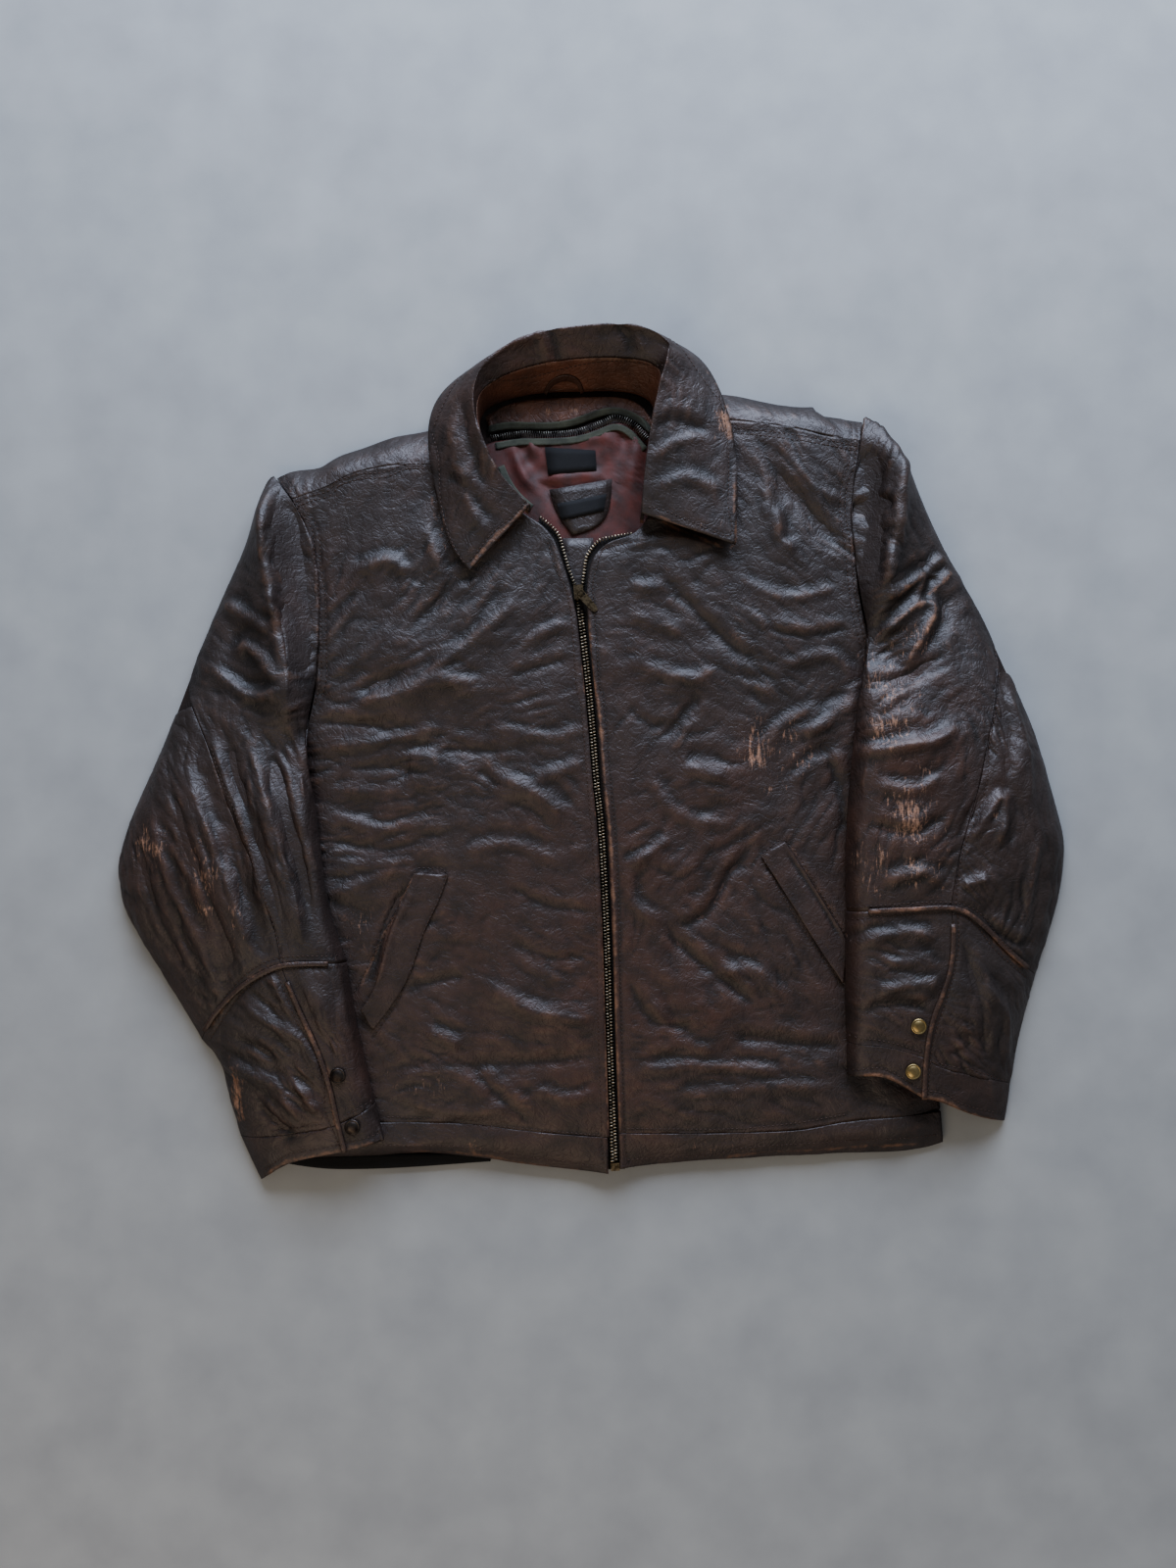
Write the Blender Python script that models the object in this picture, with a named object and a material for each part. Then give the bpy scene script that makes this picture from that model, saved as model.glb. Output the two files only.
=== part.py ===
"""A worn leather zip jacket, lying on its back with the front facing up.

The tables below are in millimetres, and the meshes in metres, +Z up. The collar points to +Y and
the wearer's right side is at -X. The zip leans four degrees, as the jacket was laid down. The
origin is on the ground under the middle of the jacket, which the tables have at MIDDLE.

Each panel is a wall between four seam lines. A seam line is a short list of points (x, y, height
of the outer surface). Neighbours share the same line, and each stays a little behind it. A piece
that lies on others is seated on their surface.
"""

import math

import bmesh
import bpy
import numpy as np
from mathutils.bvhtree import BVHTree

MM = 0.001
MIDDLE = (0.05, 2.95, 0.0)

# Walls, in millimetres. The shell is hide with its interlining.
SHELL = 2.6
BACK = 2.6
LINER = 6.5
PILE = 5.0
COLLAR = 3.0
TRIM = 1.8
PIPING = 2.2  # half of its width
PIPING_WALL = 1.2
TAPE = 0.9
TEETH = 3.4
LABEL = 1.0
LOOP_WALL = 1.4

GAP = 0.3  # between stacked pieces
SEAM = 0.17  # each piece stays this far behind its seam line

# Counts of cells along the seams that neighbours share.
N_END = 2
N_ARMHOLE = 10
N_SIDE = 20
N_SHOULDER = 14
N_INNER = 7
N_OUTER = 7
N_LONG = 12
N_CROSS_OUTER = 5
N_CROSS_INNER = 8
N_PLACKET = 6
N_CUFF = 2
N_ZIP = 12

LEATHER_DARK = ("leather_dark", (0.028, 0.020, 0.017), 0.42, 0.0)
LEATHER_WORN = ("leather_worn", (0.16, 0.08, 0.045), 0.6, 0.0)
NYLON_MAROON = ("nylon_maroon", (0.10, 0.022, 0.016), 0.45, 0.0)
PILE_BLACK = ("pile_black", (0.01, 0.01, 0.01), 0.95, 0.0)
TAPE_DARK = ("tape_dark", (0.03, 0.03, 0.028), 0.85, 0.0)
TAPE_GREEN = ("tape_green", (0.05, 0.065, 0.05), 0.85, 0.0)
WOVEN_BLACK = ("woven_black", (0.008, 0.008, 0.01), 0.6, 0.0)
BRASS_OLD = ("brass_old", (0.32, 0.24, 0.13), 0.4, 1.0)
SNAP_DARK = ("snap_dark", (0.05, 0.045, 0.04), 0.45, 1.0)

# The zip's middle line, and the way each row of teeth turns away above the slider.
ZIP = [(-11, 147), (-8, 117), (-4, 82), (1, 29), (5, -24), (9, -59), (12, -112), (15, -183), (17, -254),
       (20, -334), (21, -366)]
RIGHT_OPEN = [(-46, 218), (-37, 211), (-30, 203), (-26, 191), (-22, 177), (-18, 165), (-14, 155)]
LEFT_OPEN = [(38, 203.5), (28, 202), (17, 200), (7, 197), (1, 190), (-4, 182), (-6, 169), (-8, 156)]
HALF_CHAIN = 1.6
TOOTH_HALF = 1.4
LEATHER_OFF = 3.5
TAPE_FOOT = 8.0  # of the tapes beyond the teeth, under the box

SLIDER_AT = (-11.2, 150.0)
SLIDER_TURN = math.radians(-86)
TAB_TURN = math.radians(-48)
TAB_LENGTH = 24.0
TAB_HALF = 0.6  # half of its thickness
TAB_PLAY = 0.45  # between the tab and the bridge above it
CROWN_TALL = 3.4
BRIDGE_BAR = 1.1
BRIDGE_ROOT = 0.4  # how far the bridge reaches into the crown

# The four lines of the collar, at stations from the right leaf's front edge round the back of the
# neck to the left leaf's: foot on the neck seam, seam of the stand, roll, free edge.
FOOT = [(-55, 221, 27), (-80, 243, 26), (-96, 273, 25), (-101, 303, 18), (-91, 321, 8), (-54, 333, 5),
        (-10, 335, 5), (32, 335, 5), (54, 325, 10), (58, 305, 18), (53, 280, 24), (47, 240, 27),
        (44, 211, 28)]
STAND = [(-54, 222, 30), (-80, 246, 37), (-95, 276, 46), (-102, 308, 46), (-94, 330, 44), (-58, 347, 42),
         (-10, 355, 42), (38, 355, 42), (61, 346, 43), (60, 328, 46), (53, 289, 46), (47, 247, 42),
         (44, 213, 33)]
ROLL = [(-54, 225, 39), (-81, 252, 47), (-95, 279, 53), (-104, 309, 55), (-98, 344, 56), (-59, 371, 56),
        (-10, 380, 56), (40, 381, 56), (69, 365, 57), (61, 333, 57), (53, 294, 54), (47, 250, 49),
        (45, 217, 42)]
FREE = [(-109, 167, 34), (-126, 191, 34), (-138, 231, 33), (-147, 284, 31), (-135, 334, 20), (-66, 380, 6),
        (-10, 388, 5), (42, 391, 6), (97, 365, 20), (119, 321, 32), (129, 282, 34), (131, 235, 37),
        (129, 190, 39)]
COLLAR_STEPS = 2


class Side:
    """The seam lines of one half of the jacket, all from the neck or shoulder downwards."""


RIGHT = Side()
RIGHT.name = "right"
RIGHT.strip_end = [(-287, 255, 16), (-270, 233, 24)]
RIGHT.armhole = [(-270, 233, 24), (-256, 206, 22), (-248, 171, 21), (-246, 118, 21), (-249, 65, 21),
                 (-257, 25, 21)]
RIGHT.side = [(-257, 25, 21), (-270, -1, 15), (-285, -20, 11), (-289, -77, 10), (-288, -167, 10),
              (-285, -274, 10), (-283, -332, 9)]
RIGHT.side_hem = [(-283, -332, 9), (-282, -365, 8)]
RIGHT.shoulder = [(-270, 233, 24), (-237, 245, 25), (-216, 256, 26), (-177, 264, 26), (-147, 264, 26),
                  (-103, 268, 26)]
RIGHT.neck = [(-103, 268, 26), (-95, 254, 25), (-84, 240, 24), (-71, 228, 24), (-58, 217, 24),
              (-50, 214, 24)]
RIGHT.yoke = [(-287, 255, 16), (-274, 262, 16), (-257, 264, 15), (-239, 266, 15), (-237, 274, 15),
              (-215, 281, 15), (-196, 288, 15), (-179, 294, 15), (-149, 299, 15), (-106, 311, 15)]
RIGHT.strip_neck = [(-106, 311, 15), (-103, 268, 26)]
RIGHT.hem_seam = [(-283, -332, 9), (-183, -330, 18), (-114, -331, 20), (-58, -338, 20), (16, -344, 19)]
RIGHT.hem = [(-282, -365, 8), (-194, -363, 12), (-154, -360, 14), (-92, -366, 14), (-38, -373, 14),
             (17, -378, 14)]
RIGHT.outer_top = [(-294, 251, 20), (-311, 202, 20), (-326, 171, 20), (-355, 105, 20), (-370, 66, 20)]
RIGHT.long_seam = [(-370, 66, 20), (-345, 15, 34), (-321, -48, 42), (-305, -81, 45), (-293, -114, 47),
                   (-281, -147, 48), (-275, -184, 48)]
RIGHT.outer_elbow = [(-370, 66, 20), (-397, -4, 20), (-424, -64, 20), (-433, -112, 20), (-421, -148, 20),
                     (-402, -179, 18), (-385, -209, 18), (-356, -258, 16)]
RIGHT.outer_forearm = [(-356, -258, 16), (-339, -277, 16), (-334, -299, 16), (-321, -345, 14)]
RIGHT.outer_cuff = [(-321, -345, 14), (-302, -386, 12)]
RIGHT.inner_top = [(-257, 25, 21), (-253, -19, 42), (-247, -52, 45), (-240, -111, 46), (-231, -154, 45),
                   (-220, -184, 44)]
RIGHT.cross_outer = [(-356, -258, 16), (-343, -236, 24), (-318, -209, 38), (-297, -194, 44),
                     (-275, -184, 48)]
RIGHT.cross_inner = [(-275, -184, 48), (-246, -183, 47), (-220, -184, 44)]
RIGHT.placket = [(-275, -184, 48), (-262, -219, 46), (-249, -246, 44), (-241, -268, 43), (-232, -291, 42),
                 (-230, -310, 40), (-226, -328, 38)]
RIGHT.placket_cuff = [(-226, -328, 38), (-220, -353, 36)]
RIGHT.inner_forearm = [(-220, -184, 44), (-215, -220, 43), (-207, -259, 41), (-195, -311, 38)]
RIGHT.inner_cuff = [(-195, -311, 38), (-186, -344, 34)]
RIGHT.cuff_seam_outer = [(-321, -345, 14), (-290, -342, 26), (-241, -333, 36), (-226, -328, 38)]
RIGHT.cuff_seam_inner = [(-226, -328, 38), (-209, -320, 38), (-195, -311, 38)]
RIGHT.cuff_outer = [(-302, -386, 12), (-276, -367, 24), (-250, -359, 32), (-220, -353, 36)]
RIGHT.cuff_inner = [(-220, -353, 36), (-202, -348, 36), (-186, -344, 34)]
RIGHT.snaps = [(-225, -283), (-213, -330)]
RIGHT.ridge = [(-281, 250), (-294, 229), (-292, 200), (-287, 147), (-278, 103), (-272, 59), (-262, 15)]
RIGHT.ridge_height = 24

LEFT = Side()
LEFT.name = "left"
LEFT.strip_end = [(248, 307, 16), (243, 286, 24)]
LEFT.armhole = [(243, 286, 24), (240, 262, 23), (235, 228, 22), (238, 188, 21), (243, 144, 21),
                (251, 109, 21)]
LEFT.side = [(251, 109, 21), (261, 74, 15), (276, 52, 11), (292, -42, 10), (306, -149, 10), (314, -256, 10),
             (319, -322, 9)]
LEFT.side_hem = [(319, -322, 9), (322, -351, 8)]
LEFT.shoulder = [(243, 286, 24), (214, 290, 25), (194, 295, 26), (166, 300, 26), (126, 304, 26),
                 (68, 303, 26)]
LEFT.neck = [(68, 303, 26), (64, 280, 25), (58, 256, 24), (55, 236, 24), (50, 206, 24), (39, 200, 24)]
LEFT.yoke = [(248, 307, 16), (234, 309, 16), (220, 311, 15), (207, 312, 15), (206, 320, 15), (184, 321, 15),
             (156, 326, 15), (133, 331, 15), (110, 333, 15), (69, 331, 15)]
LEFT.strip_neck = [(69, 331, 15), (68, 303, 26)]
LEFT.hem_seam = [(319, -322, 9), (232, -329, 18), (191, -337, 20), (105, -340, 20), (25, -340, 19)]
LEFT.hem = [(322, -351, 8), (292, -359, 9), (220, -361, 12), (131, -365, 14), (86, -368, 14), (26, -373, 14)]
LEFT.outer_top = [(268, 297, 20), (285, 269, 20), (317, 202, 20), (339, 162, 20), (355, 136, 20),
                  (372, 98, 20)]
LEFT.long_seam = [(372, 98, 20), (365, 70, 32), (359, 36, 38), (352, 7, 42), (344, -29, 45), (330, -75, 47),
                  (323, -106, 48), (319, -132, 48)]
LEFT.outer_elbow = [(372, 98, 20), (387, 65, 20), (405, 25, 20), (427, -50, 20), (433, -81, 20),
                    (427, -130, 20), (413, -178, 18), (407, -199, 16)]
LEFT.outer_forearm = [(407, -199, 16), (399, -228, 16), (391, -260, 15), (384, -297, 14)]
LEFT.outer_cuff = [(384, -297, 14), (379, -332, 12)]
LEFT.inner_top = [(251, 109, 21), (244, 75, 42), (239, 47, 45), (234, -2, 46), (230, -51, 46), (229, -95, 46),
                  (230, -138, 45)]
LEFT.cross_outer = [(407, -199, 16), (384, -182, 28), (364, -165, 36), (349, -148, 42), (332, -136, 46),
                    (319, -132, 48)]
LEFT.cross_inner = [(319, -132, 48), (285, -135, 48), (257, -136, 48), (230, -138, 45)]
LEFT.placket = [(319, -132, 48), (322, -166, 46), (315, -206, 45), (304, -228, 44), (300, -250, 43),
                (298, -268, 41)]
LEFT.placket_cuff = [(298, -268, 41), (297, -305, 38)]
LEFT.inner_forearm = [(230, -138, 45), (229, -175, 44), (230, -229, 42), (231, -256, 40)]
LEFT.inner_cuff = [(231, -256, 40), (231, -286, 38)]
LEFT.cuff_seam_outer = [(384, -297, 14), (344, -285, 32), (315, -279, 38), (298, -268, 41)]
LEFT.cuff_seam_inner = [(298, -268, 41), (268, -259, 41), (231, -256, 40)]
LEFT.cuff_outer = [(379, -332, 12), (336, -320, 30), (317, -308, 36), (297, -305, 38)]
LEFT.cuff_inner = [(297, -305, 38), (263, -286, 38), (231, -286, 38)]
LEFT.snaps = [(291, -239), (287, -280)]
LEFT.ridge = [(254, 294), (271, 280), (278, 258), (275, 224), (270, 191), (262, 158), (255, 118)]
LEFT.ridge_height = 24

# Folds: (height, half width, points). A negative height is a trough.
RIGHT.front_folds = [
    (5, 10, [(-215, 48), (-171, 58), (-138, 72), (-99, 53)]),
    (5, 9, [(-149, 77), (-119, 96), (-82, 126), (-67, 148)]),
    (-3, 8, [(-210, 64), (-165, 82)]),
    (-3, 9, [(-140, 18), (-82, 22)]),
    (4, 9, [(-247, 15), (-179, 10)]),
    (4, 9, [(-165, -3), (-132, -8)]),
    (5, 9, [(-86, -14), (-43, -34), (-24, -54)]),
    (4, 9, [(-215, 167), (-183, 178), (-165, 164)]),
    (-3, 9, [(-159, 118), (-108, 169)]),
    (4, 9, [(-149, 210), (-135, 163)]),
    (4, 9, [(-241, 90), (-180, 100), (-150, 118)]),
    (4, 9, [(-233, -92), (-170, -88)]),
    (4, 9, [(-236, -124), (-190, -116)]),
    (-3, 9, [(-150, -206), (-100, -190)]),
    (5, 10, [(-100, -203), (-54, -228), (4, -239)]),
    (-3, 9, [(-111, -274), (-54, -272), (4, -266)]),
    (4, 9, [(-152, -245), (-110, -264)]),
    (4, 9, [(-150, -308), (-60, -312)]),
]
LEFT.front_folds = [
    (4, 10, [(33, 180), (82, 184), (112, 176)]),
    (-4, 9, [(170, 259), (176, 246), (225, 193)]),
    (5, 9, [(160, 232), (168, 200), (188, 182)]),
    (4, 9, [(34, 142), (69, 146), (110, 138)]),
    (-3, 9, [(75, 130), (125, 104), (145, 80)]),
    (4, 9, [(43, 84), (90, 71), (116, 82)]),
    (-3, 9, [(99, 58), (64, 12)]),
    (5, 10, [(186, 14), (245, 54)]),
    (4, 9, [(82, -9), (125, -20)]),
    (5, 9, [(34, -98), (74, -70)]),
    (-4, 9, [(77, -156), (104, -140), (125, -106), (148, -76)]),
    (-4, 9, [(72, -162), (100, -186), (148, -224)]),
    (4, 9, [(60, -196), (100, -222), (130, -240)]),
    (-4, 9, [(122, -254), (190, -260), (231, -263)]),
    (4, 9, [(50, -290), (121, -286), (220, -290)]),
]
RIGHT.sleeve_folds = [
    (4, 9, [(-335, 141), (-290, 114)]),
    (4, 9, [(-325, 88), (-304, 98), (-279, 68)]),
    (4, 9, [(-345, 79), (-306, 50), (-274, 56)]),
    (5, 10, [(-300, 20), (-290, -60), (-268, -160)]),
    (-4, 9, [(-276, 0), (-268, -70), (-250, -150)]),
]
RIGHT.elbow_folds = [
    (5, 9, [(-377, -20), (-352, -100), (-318, -180)]),
    (-4, 9, [(-392, -59), (-372, -137), (-345, -200)]),
    (4, 9, [(-412, -90), (-400, -150), (-372, -205)]),
]
LEFT.sleeve_folds = [
    (4, 9, [(260, 145), (297, 163), (318, 180)]),
    (4, 9, [(251, 98), (292, 122), (318, 140)]),
    (-4, 9, [(236, 225), (258, 228)]),
    (5, 9, [(240, 0), (274, 9), (303, 14), (335, 30)]),
    (4, 10, [(262, -20), (290, -70), (296, -120)]),
]
LEFT.elbow_folds = [
    (5, 9, [(342, -78), (362, -45), (376, 10)]),
    (4, 9, [(334, -116), (370, -106), (400, -90)]),
    (-4, 9, [(352, -130), (385, -130), (412, -110)]),
]
RIGHT.forearm_outer_folds = [(4, 9, [(-314, -222), (-280, -240), (-256, -262)]),
                             (4, 9, [(-333, -275), (-283, -293), (-255, -318)])]
RIGHT.forearm_inner_folds = [(4, 9, [(-258, -192), (-232, -238)])]
LEFT.forearm_outer_folds = [(4, 9, [(330, -210), (360, -222), (388, -232)])]
LEFT.forearm_inner_folds = [(4, 9, [(250, -205), (280, -198), (308, -200)])]

RIGHT.welt_inner = [(-129, -106, 0), (-138, -132, 0), (-151, -157, 0), (-164, -197, 0), (-176, -218, 0),
                    (-197, -246, 0)]
RIGHT.welt_free = [(-159, -104, 0), (-166, -117, 0), (-181, -156, 0), (-190, -190, 0), (-197, -213, 0),
                   (-208, -228, 0)]
RIGHT.welt_lift = 4.0
LEFT.welt_inner = [(153, -88, 0), (175, -122, 0), (196, -156, 0), (228, -205, 0)]
LEFT.welt_free = [(175, -76, 0), (196, -108, 0), (212, -134, 0), (232, -166, 0)]
LEFT.welt_lift = 0.0

# Liner and neck. The liner's fronts each have an edge at the zip, an outer edge and a neck.
RIGHT.liner_side = [(-150, 240, 10), (-235, 120, 10), (-262, -60, 10), (-262, -356, 10)]
RIGHT.liner_edge = [(-50, 206, 17), (-34, 150, 17), (-20, 30, 17), (-8, -160, 17), (0, -350, 15)]
RIGHT.liner_outer = [(-140, 236, 17), (-228, 120, 17), (-252, -60, 16), (-256, -352, 14)]
RIGHT.liner_neck = [(-140, 236, 17), (-92, 236, 17), (-50, 206, 17)]
LEFT.liner_side = [(130, 260, 10), (225, 150, 10), (276, -40, 10), (300, -344, 10)]
LEFT.liner_edge = [(46, 196, 17), (6, 150, 17), (14, 30, 17), (30, -160, 17), (38, -350, 15)]
LEFT.liner_outer = [(122, 262, 17), (216, 150, 17), (264, -40, 16), (288, -340, 14)]
LEFT.liner_neck = [(122, 262, 17), (74, 240, 17), (46, 196, 17)]
LINER_HEM = [(-262, -356, 10), (-92, -352, 10), (22, -356, 10), (180, -352, 10), (300, -344, 10)]
PILE_INNER = [(-279, -364, 7), (-180, -362, 7), (-92, -362, 7)]
PILE_OUTER = [(-278, -371, 5), (-241, -376, 5), (-179, -375, 5), (-92, -369, 5)]
BACK_NECK = [(-90, 325, 0), (-54, 338, 0), (-10, 340, 0), (32, 340, 0), (58, 336, 0)]
BACK_HEM = [(-282, -362, 0), (-92, -360, 0), (22, -366, 0), (200, -358, 0), (322, -351, 0)]
WIND_FLAP = [(-12, 200), (-12, 172), (-9, 140), (-4, 82), (3, 0), (10, -90), (15, -190), (20, -340)]
ZIP_BOX = (22.0, -371.0)
LINER_TOP = [(-98, 288, 0), (-74, 291, 0), (-46, 293, 0), (-14, 295, 0), (8, 303, 0), (22, 308, 0),
             (38, 305, 0), (56, 292, 0)]
NECK_FACING_TOP = [(-96, 312, 0), (-82, 322, 0), (-54, 328, 0), (-10, 330, 0), (32, 330, 0), (50, 320, 0),
                   (58, 304, 0)]
GREEN_UPPER = [(-94, 300, 0), (-76, 304, 0), (-45, 303, 0), (-21, 305, 0), (-4, 311, 0), (20, 318, 0),
               (42, 311, 0), (55, 298, 0)]
LINER_TEETH = [(-91, 292, 0), (-70, 296, 0), (-42, 295, 0), (-14, 297, 0), (7, 304, 0), (22, 310, 0),
               (38, 304, 0), (52, 289, 0)]
GREEN_LOWER = [(-87, 284, 0), (-66, 288, 0), (-41, 288, 0), (-12, 290, 0), (12, 298, 0), (23, 303, 0),
               (35, 297, 0), (49, 281, 0)]
LINER_FRONT_TAPE = [(-82, 266, 0), (-76, 252, 0), (-66, 238, 0), (-54, 228, 0)]
SMALL_LABEL = [(-42, 283), (4, 280), (5, 262), (-39, 258)]
PATCH = [(-38, 244), (19, 254), (18, 224), (6, 209), (-17, 203), (-33, 224)]
PATCH_LABEL = [(-31, 231), (14, 240), (12, 225), (-27, 216)]
LOOP = [(-42, 333), (-37, 339), (-24, 343), (-12, 341), (-8, 334)]

NOWHERE = -1000.0  # the height of a point with nothing under it

built = {}


# Curves and heights

def smooth(points, steps=10):
    """A smooth line through the points."""
    p = np.array(points, float)
    if len(p) == 2:
        return p[0] + np.linspace(0, 1, steps + 1)[:, None] * (p[1] - p[0])
    q = np.vstack([2 * p[0] - p[1], p, 2 * p[-1] - p[-2]])
    t = np.linspace(0, 1, steps, endpoint=False)[:, None]
    out = []
    for a, b, c, d in zip(q, q[1:], q[2:], q[3:]):
        out.append(0.5 * (2 * b + (c - a) * t + (2 * a - 5 * b + 4 * c - d) * t ** 2
                          + (3 * b - a - 3 * c + d) * t ** 3))
    return np.vstack(out + [p[-1:]])


def along(points):
    """How far each point lies along its line in plan, from 0 to 1."""
    s = np.concatenate([[0], np.cumsum(np.linalg.norm(np.diff(points[:, :2], axis=0), axis=1))])
    return s / s[-1]


def curve(points, count, eased=False):
    """The smooth line as count equal steps, or as steps that shorten towards both ends."""
    line = smooth(points)
    at = np.linspace(0, 1, count + 1)
    if eased:
        at = 0.45 * at + 0.55 * (0.5 - 0.5 * np.cos(np.pi * at))
    s = along(line)
    return np.stack([np.interp(at, s, line[:, k]) for k in range(line.shape[1])], axis=1)


def chain(*lines):
    """Lines that follow on each other, as one."""
    return np.vstack([lines[0]] + [line[1:] for line in lines[1:]])


def offset(line, distance):
    """The line moved sideways in plan; a positive distance is to its left."""
    line = np.array(line, float)
    way = np.gradient(line[:, :2], axis=0)
    way /= np.linalg.norm(way, axis=1)[:, None]
    moved = line.copy()
    moved[:, 0] -= distance * way[:, 1]
    moved[:, 1] += distance * way[:, 0]
    return moved


def nearest(xy, line):
    """Each point's distance from a line in plan, and the place along it, from 0 to 1."""
    line = np.array(line, float)[:, :2]
    s = along(line)
    best = np.full(len(xy), 1e9)
    place = np.zeros(len(xy))
    for k in range(len(line) - 1):
        a, d = line[k], line[k + 1] - line[k]
        t = np.clip((xy - a) @ d / (d @ d), 0, 1)
        gap = np.linalg.norm(xy - a - t[:, None] * d, axis=1)
        closer = gap < best
        best[closer] = gap[closer]
        place[closer] = (s[k] + t * (s[k + 1] - s[k]))[closer]
    return best, place


def relief(xy, folds):
    """The height that the folds add. A fold fades out at both ends."""
    z = np.zeros(len(xy))
    for height, half, points in folds:
        gap, place = nearest(xy, smooth(points))
        ends = np.clip(np.minimum(place, 1 - place) * 5 + 0.25, 0, 1)
        z += height * ends * np.exp(-(gap / half) ** 2)
    return z


def rolled(xy, rolls):
    """How far rounded edges drop: each is a line, a drop and a width."""
    z = np.zeros(len(xy))
    for line, drop, width in rolls:
        gap, _ = nearest(xy, line)
        inside = np.clip(1 - gap / width, 0, 1)
        z = np.maximum(z, drop * (1 - np.sqrt(1 - inside ** 2)))
    return z


# Seating a piece on those below it

class Below:
    """The upper surface of some built pieces."""

    def __init__(self, names):
        points, triangles = [], []
        for name in names:
            more, faces = built[name]
            triangles += [[i + len(points) for i in face] for face in faces]
            points += [tuple(p) for p in more]
        self.points = np.array(points).reshape(-1, 3)
        self.triangles = triangles
        self.tree = BVHTree.FromPolygons(points, triangles) if triangles else None

    def height(self, x, y):
        if self.tree is None:
            return NOWHERE
        hit = self.tree.ray_cast((x, y, 500.0), (0, 0, -1))[0]
        return NOWHERE if hit is None else hit.z


def edges_of(faces):
    pairs = np.array([(face[k], face[(k + 1) % 3]) for face in faces for k in range(3)])
    return np.unique(np.sort(pairs, axis=1), axis=0)


def crossings(xy, faces, below):
    """Where edges of two meshes cross in plan: the upper edge, the place on it, the lower edge's height."""
    points = below.points
    upper, lower = edges_of(faces), edges_of(below.triangles)
    ends = points[lower][:, :, :2]
    near = (ends.max(axis=1) > xy.min(axis=0)).all(axis=1) & (ends.min(axis=1) < xy.max(axis=0)).all(axis=1)
    lower = lower[near]
    a, d = points[lower[:, 0]], points[lower[:, 1]] - points[lower[:, 0]]
    tests = []
    for first in range(0, len(upper), 100):
        pair = upper[first:first + 100]
        b = xy[pair[:, 0]][:, None]
        e = xy[pair[:, 1]][:, None] - b
        w = a[None, :, :2] - b
        cross = e[..., 0] * d[None, :, 1] - e[..., 1] * d[None, :, 0]
        cross[np.abs(cross) < 1e-9] = np.inf
        s = (w[..., 0] * d[None, :, 1] - w[..., 1] * d[None, :, 0]) / cross
        t = (w[..., 0] * e[..., 1] - w[..., 1] * e[..., 0]) / cross
        for k, m in zip(*np.nonzero((s > 0) & (s < 1) & (t > 0) & (t < 1))):
            i, j = pair[k]
            tests.append(((i, j, j), (1 - s[k, m], s[k, m], 0.0), a[m, 2] + t[k, m] * d[m, 2]))
    return tests


def seat(xy, z, triangles, names, floor):
    """Raise a lower surface until it is clear of the pieces below it."""
    below = Below(names)
    z = np.maximum(z, NOWHERE if floor is None else floor)
    if below.tree is None:
        return z
    z = np.maximum(z, [below.height(x, y) + GAP for x, y in xy])
    found = z > NOWHERE / 2
    for k in np.nonzero(~found)[0]:
        z[k] = z[found][np.argmin(np.linalg.norm(xy[found] - xy[k], axis=1))]
    tests = crossings(xy, triangles, below)
    flat = BVHTree.FromPolygons([(x, y, 0.0) for x, y in xy], [list(face) for face in triangles])
    for px, py, pz in below.points:
        index = flat.ray_cast((px, py, 1.0), (0, 0, -1))[2]
        if index is not None:
            face = triangles[index]
            corners = np.vstack([xy[list(face)].T, np.ones(3)])
            tests.append((face, np.clip(np.linalg.solve(corners, [px, py, 1.0]), 0, 1), pz))
    if not tests:
        return z
    faces = np.array([t[0] for t in tests])
    weights = np.array([t[1] for t in tests])
    need = np.array([t[2] for t in tests]) + GAP
    share = weights / (weights ** 2).sum(axis=1)[:, None]
    for _ in range(60):
        short = np.maximum(need - (weights * z[faces]).sum(axis=1), 0)
        if short.max() < 1e-4:
            break
        rise = np.zeros(len(z))
        np.maximum.at(rise, faces.ravel(), (short[:, None] * share).ravel())
        z = z + rise
    return z


# Making solids

def material(finish):
    name, colour, rough, metallic = finish
    made = bpy.data.materials.get(name)
    if made is None:
        made = bpy.data.materials.new(name)
        made.use_nodes = True
        shader = made.node_tree.nodes["Principled BSDF"]
        shader.inputs["Base Color"].default_value = (*colour, 1)
        shader.inputs["Roughness"].default_value = rough
        shader.inputs["Metallic"].default_value = metallic
    return made


def solid(name, points, faces, finish):
    """One closed piece from points in millimetres."""
    built[name] = (np.array(points, float), [list(face) for face in faces])
    mesh = bpy.data.meshes.new(name)
    metres = (np.array(points, float) - MIDDLE) * MM
    mesh.from_pydata(metres.tolist(), [], [list(face) for face in faces])
    mesh.materials.append(material(finish))
    mesh.shade_smooth()
    mesh.set_sharp_from_angle(angle=math.radians(40))
    piece = bpy.data.objects.new(name, mesh)
    bpy.context.collection.objects.link(piece)
    return piece


def wall_faces(rows, cols, flip):
    """The triangles of a wall with a grid on each side: all, and those of the first grid."""
    across = cols + 1
    upper = []
    for r in range(rows):
        for c in range(cols):
            a, b = r * across + c, r * across + c + 1
            d, e = a + across, b + across
            upper += [(a, d, e), (a, e, b)]
    rim = ([(0, c) for c in range(cols)] + [(r, cols) for r in range(rows)]
           + [(rows, cols - c) for c in range(cols)] + [(rows - r, 0) for r in range(rows)])
    rim = [r * across + c for r, c in rim]
    below = (rows + 1) * across
    lower = [(c + below, b + below, a + below) for a, b, c in upper]
    sides = []
    for a, b in zip(rim, rim[1:] + rim[:1]):
        if a < b:
            sides += [(a, b, b + below), (a, b + below, a + below)]
        else:
            sides += [(a, b, a + below), (b, b + below, a + below)]
    faces = upper + lower + sides
    if flip:
        faces = [face[::-1] for face in faces]
    return faces, upper, rim


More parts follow.
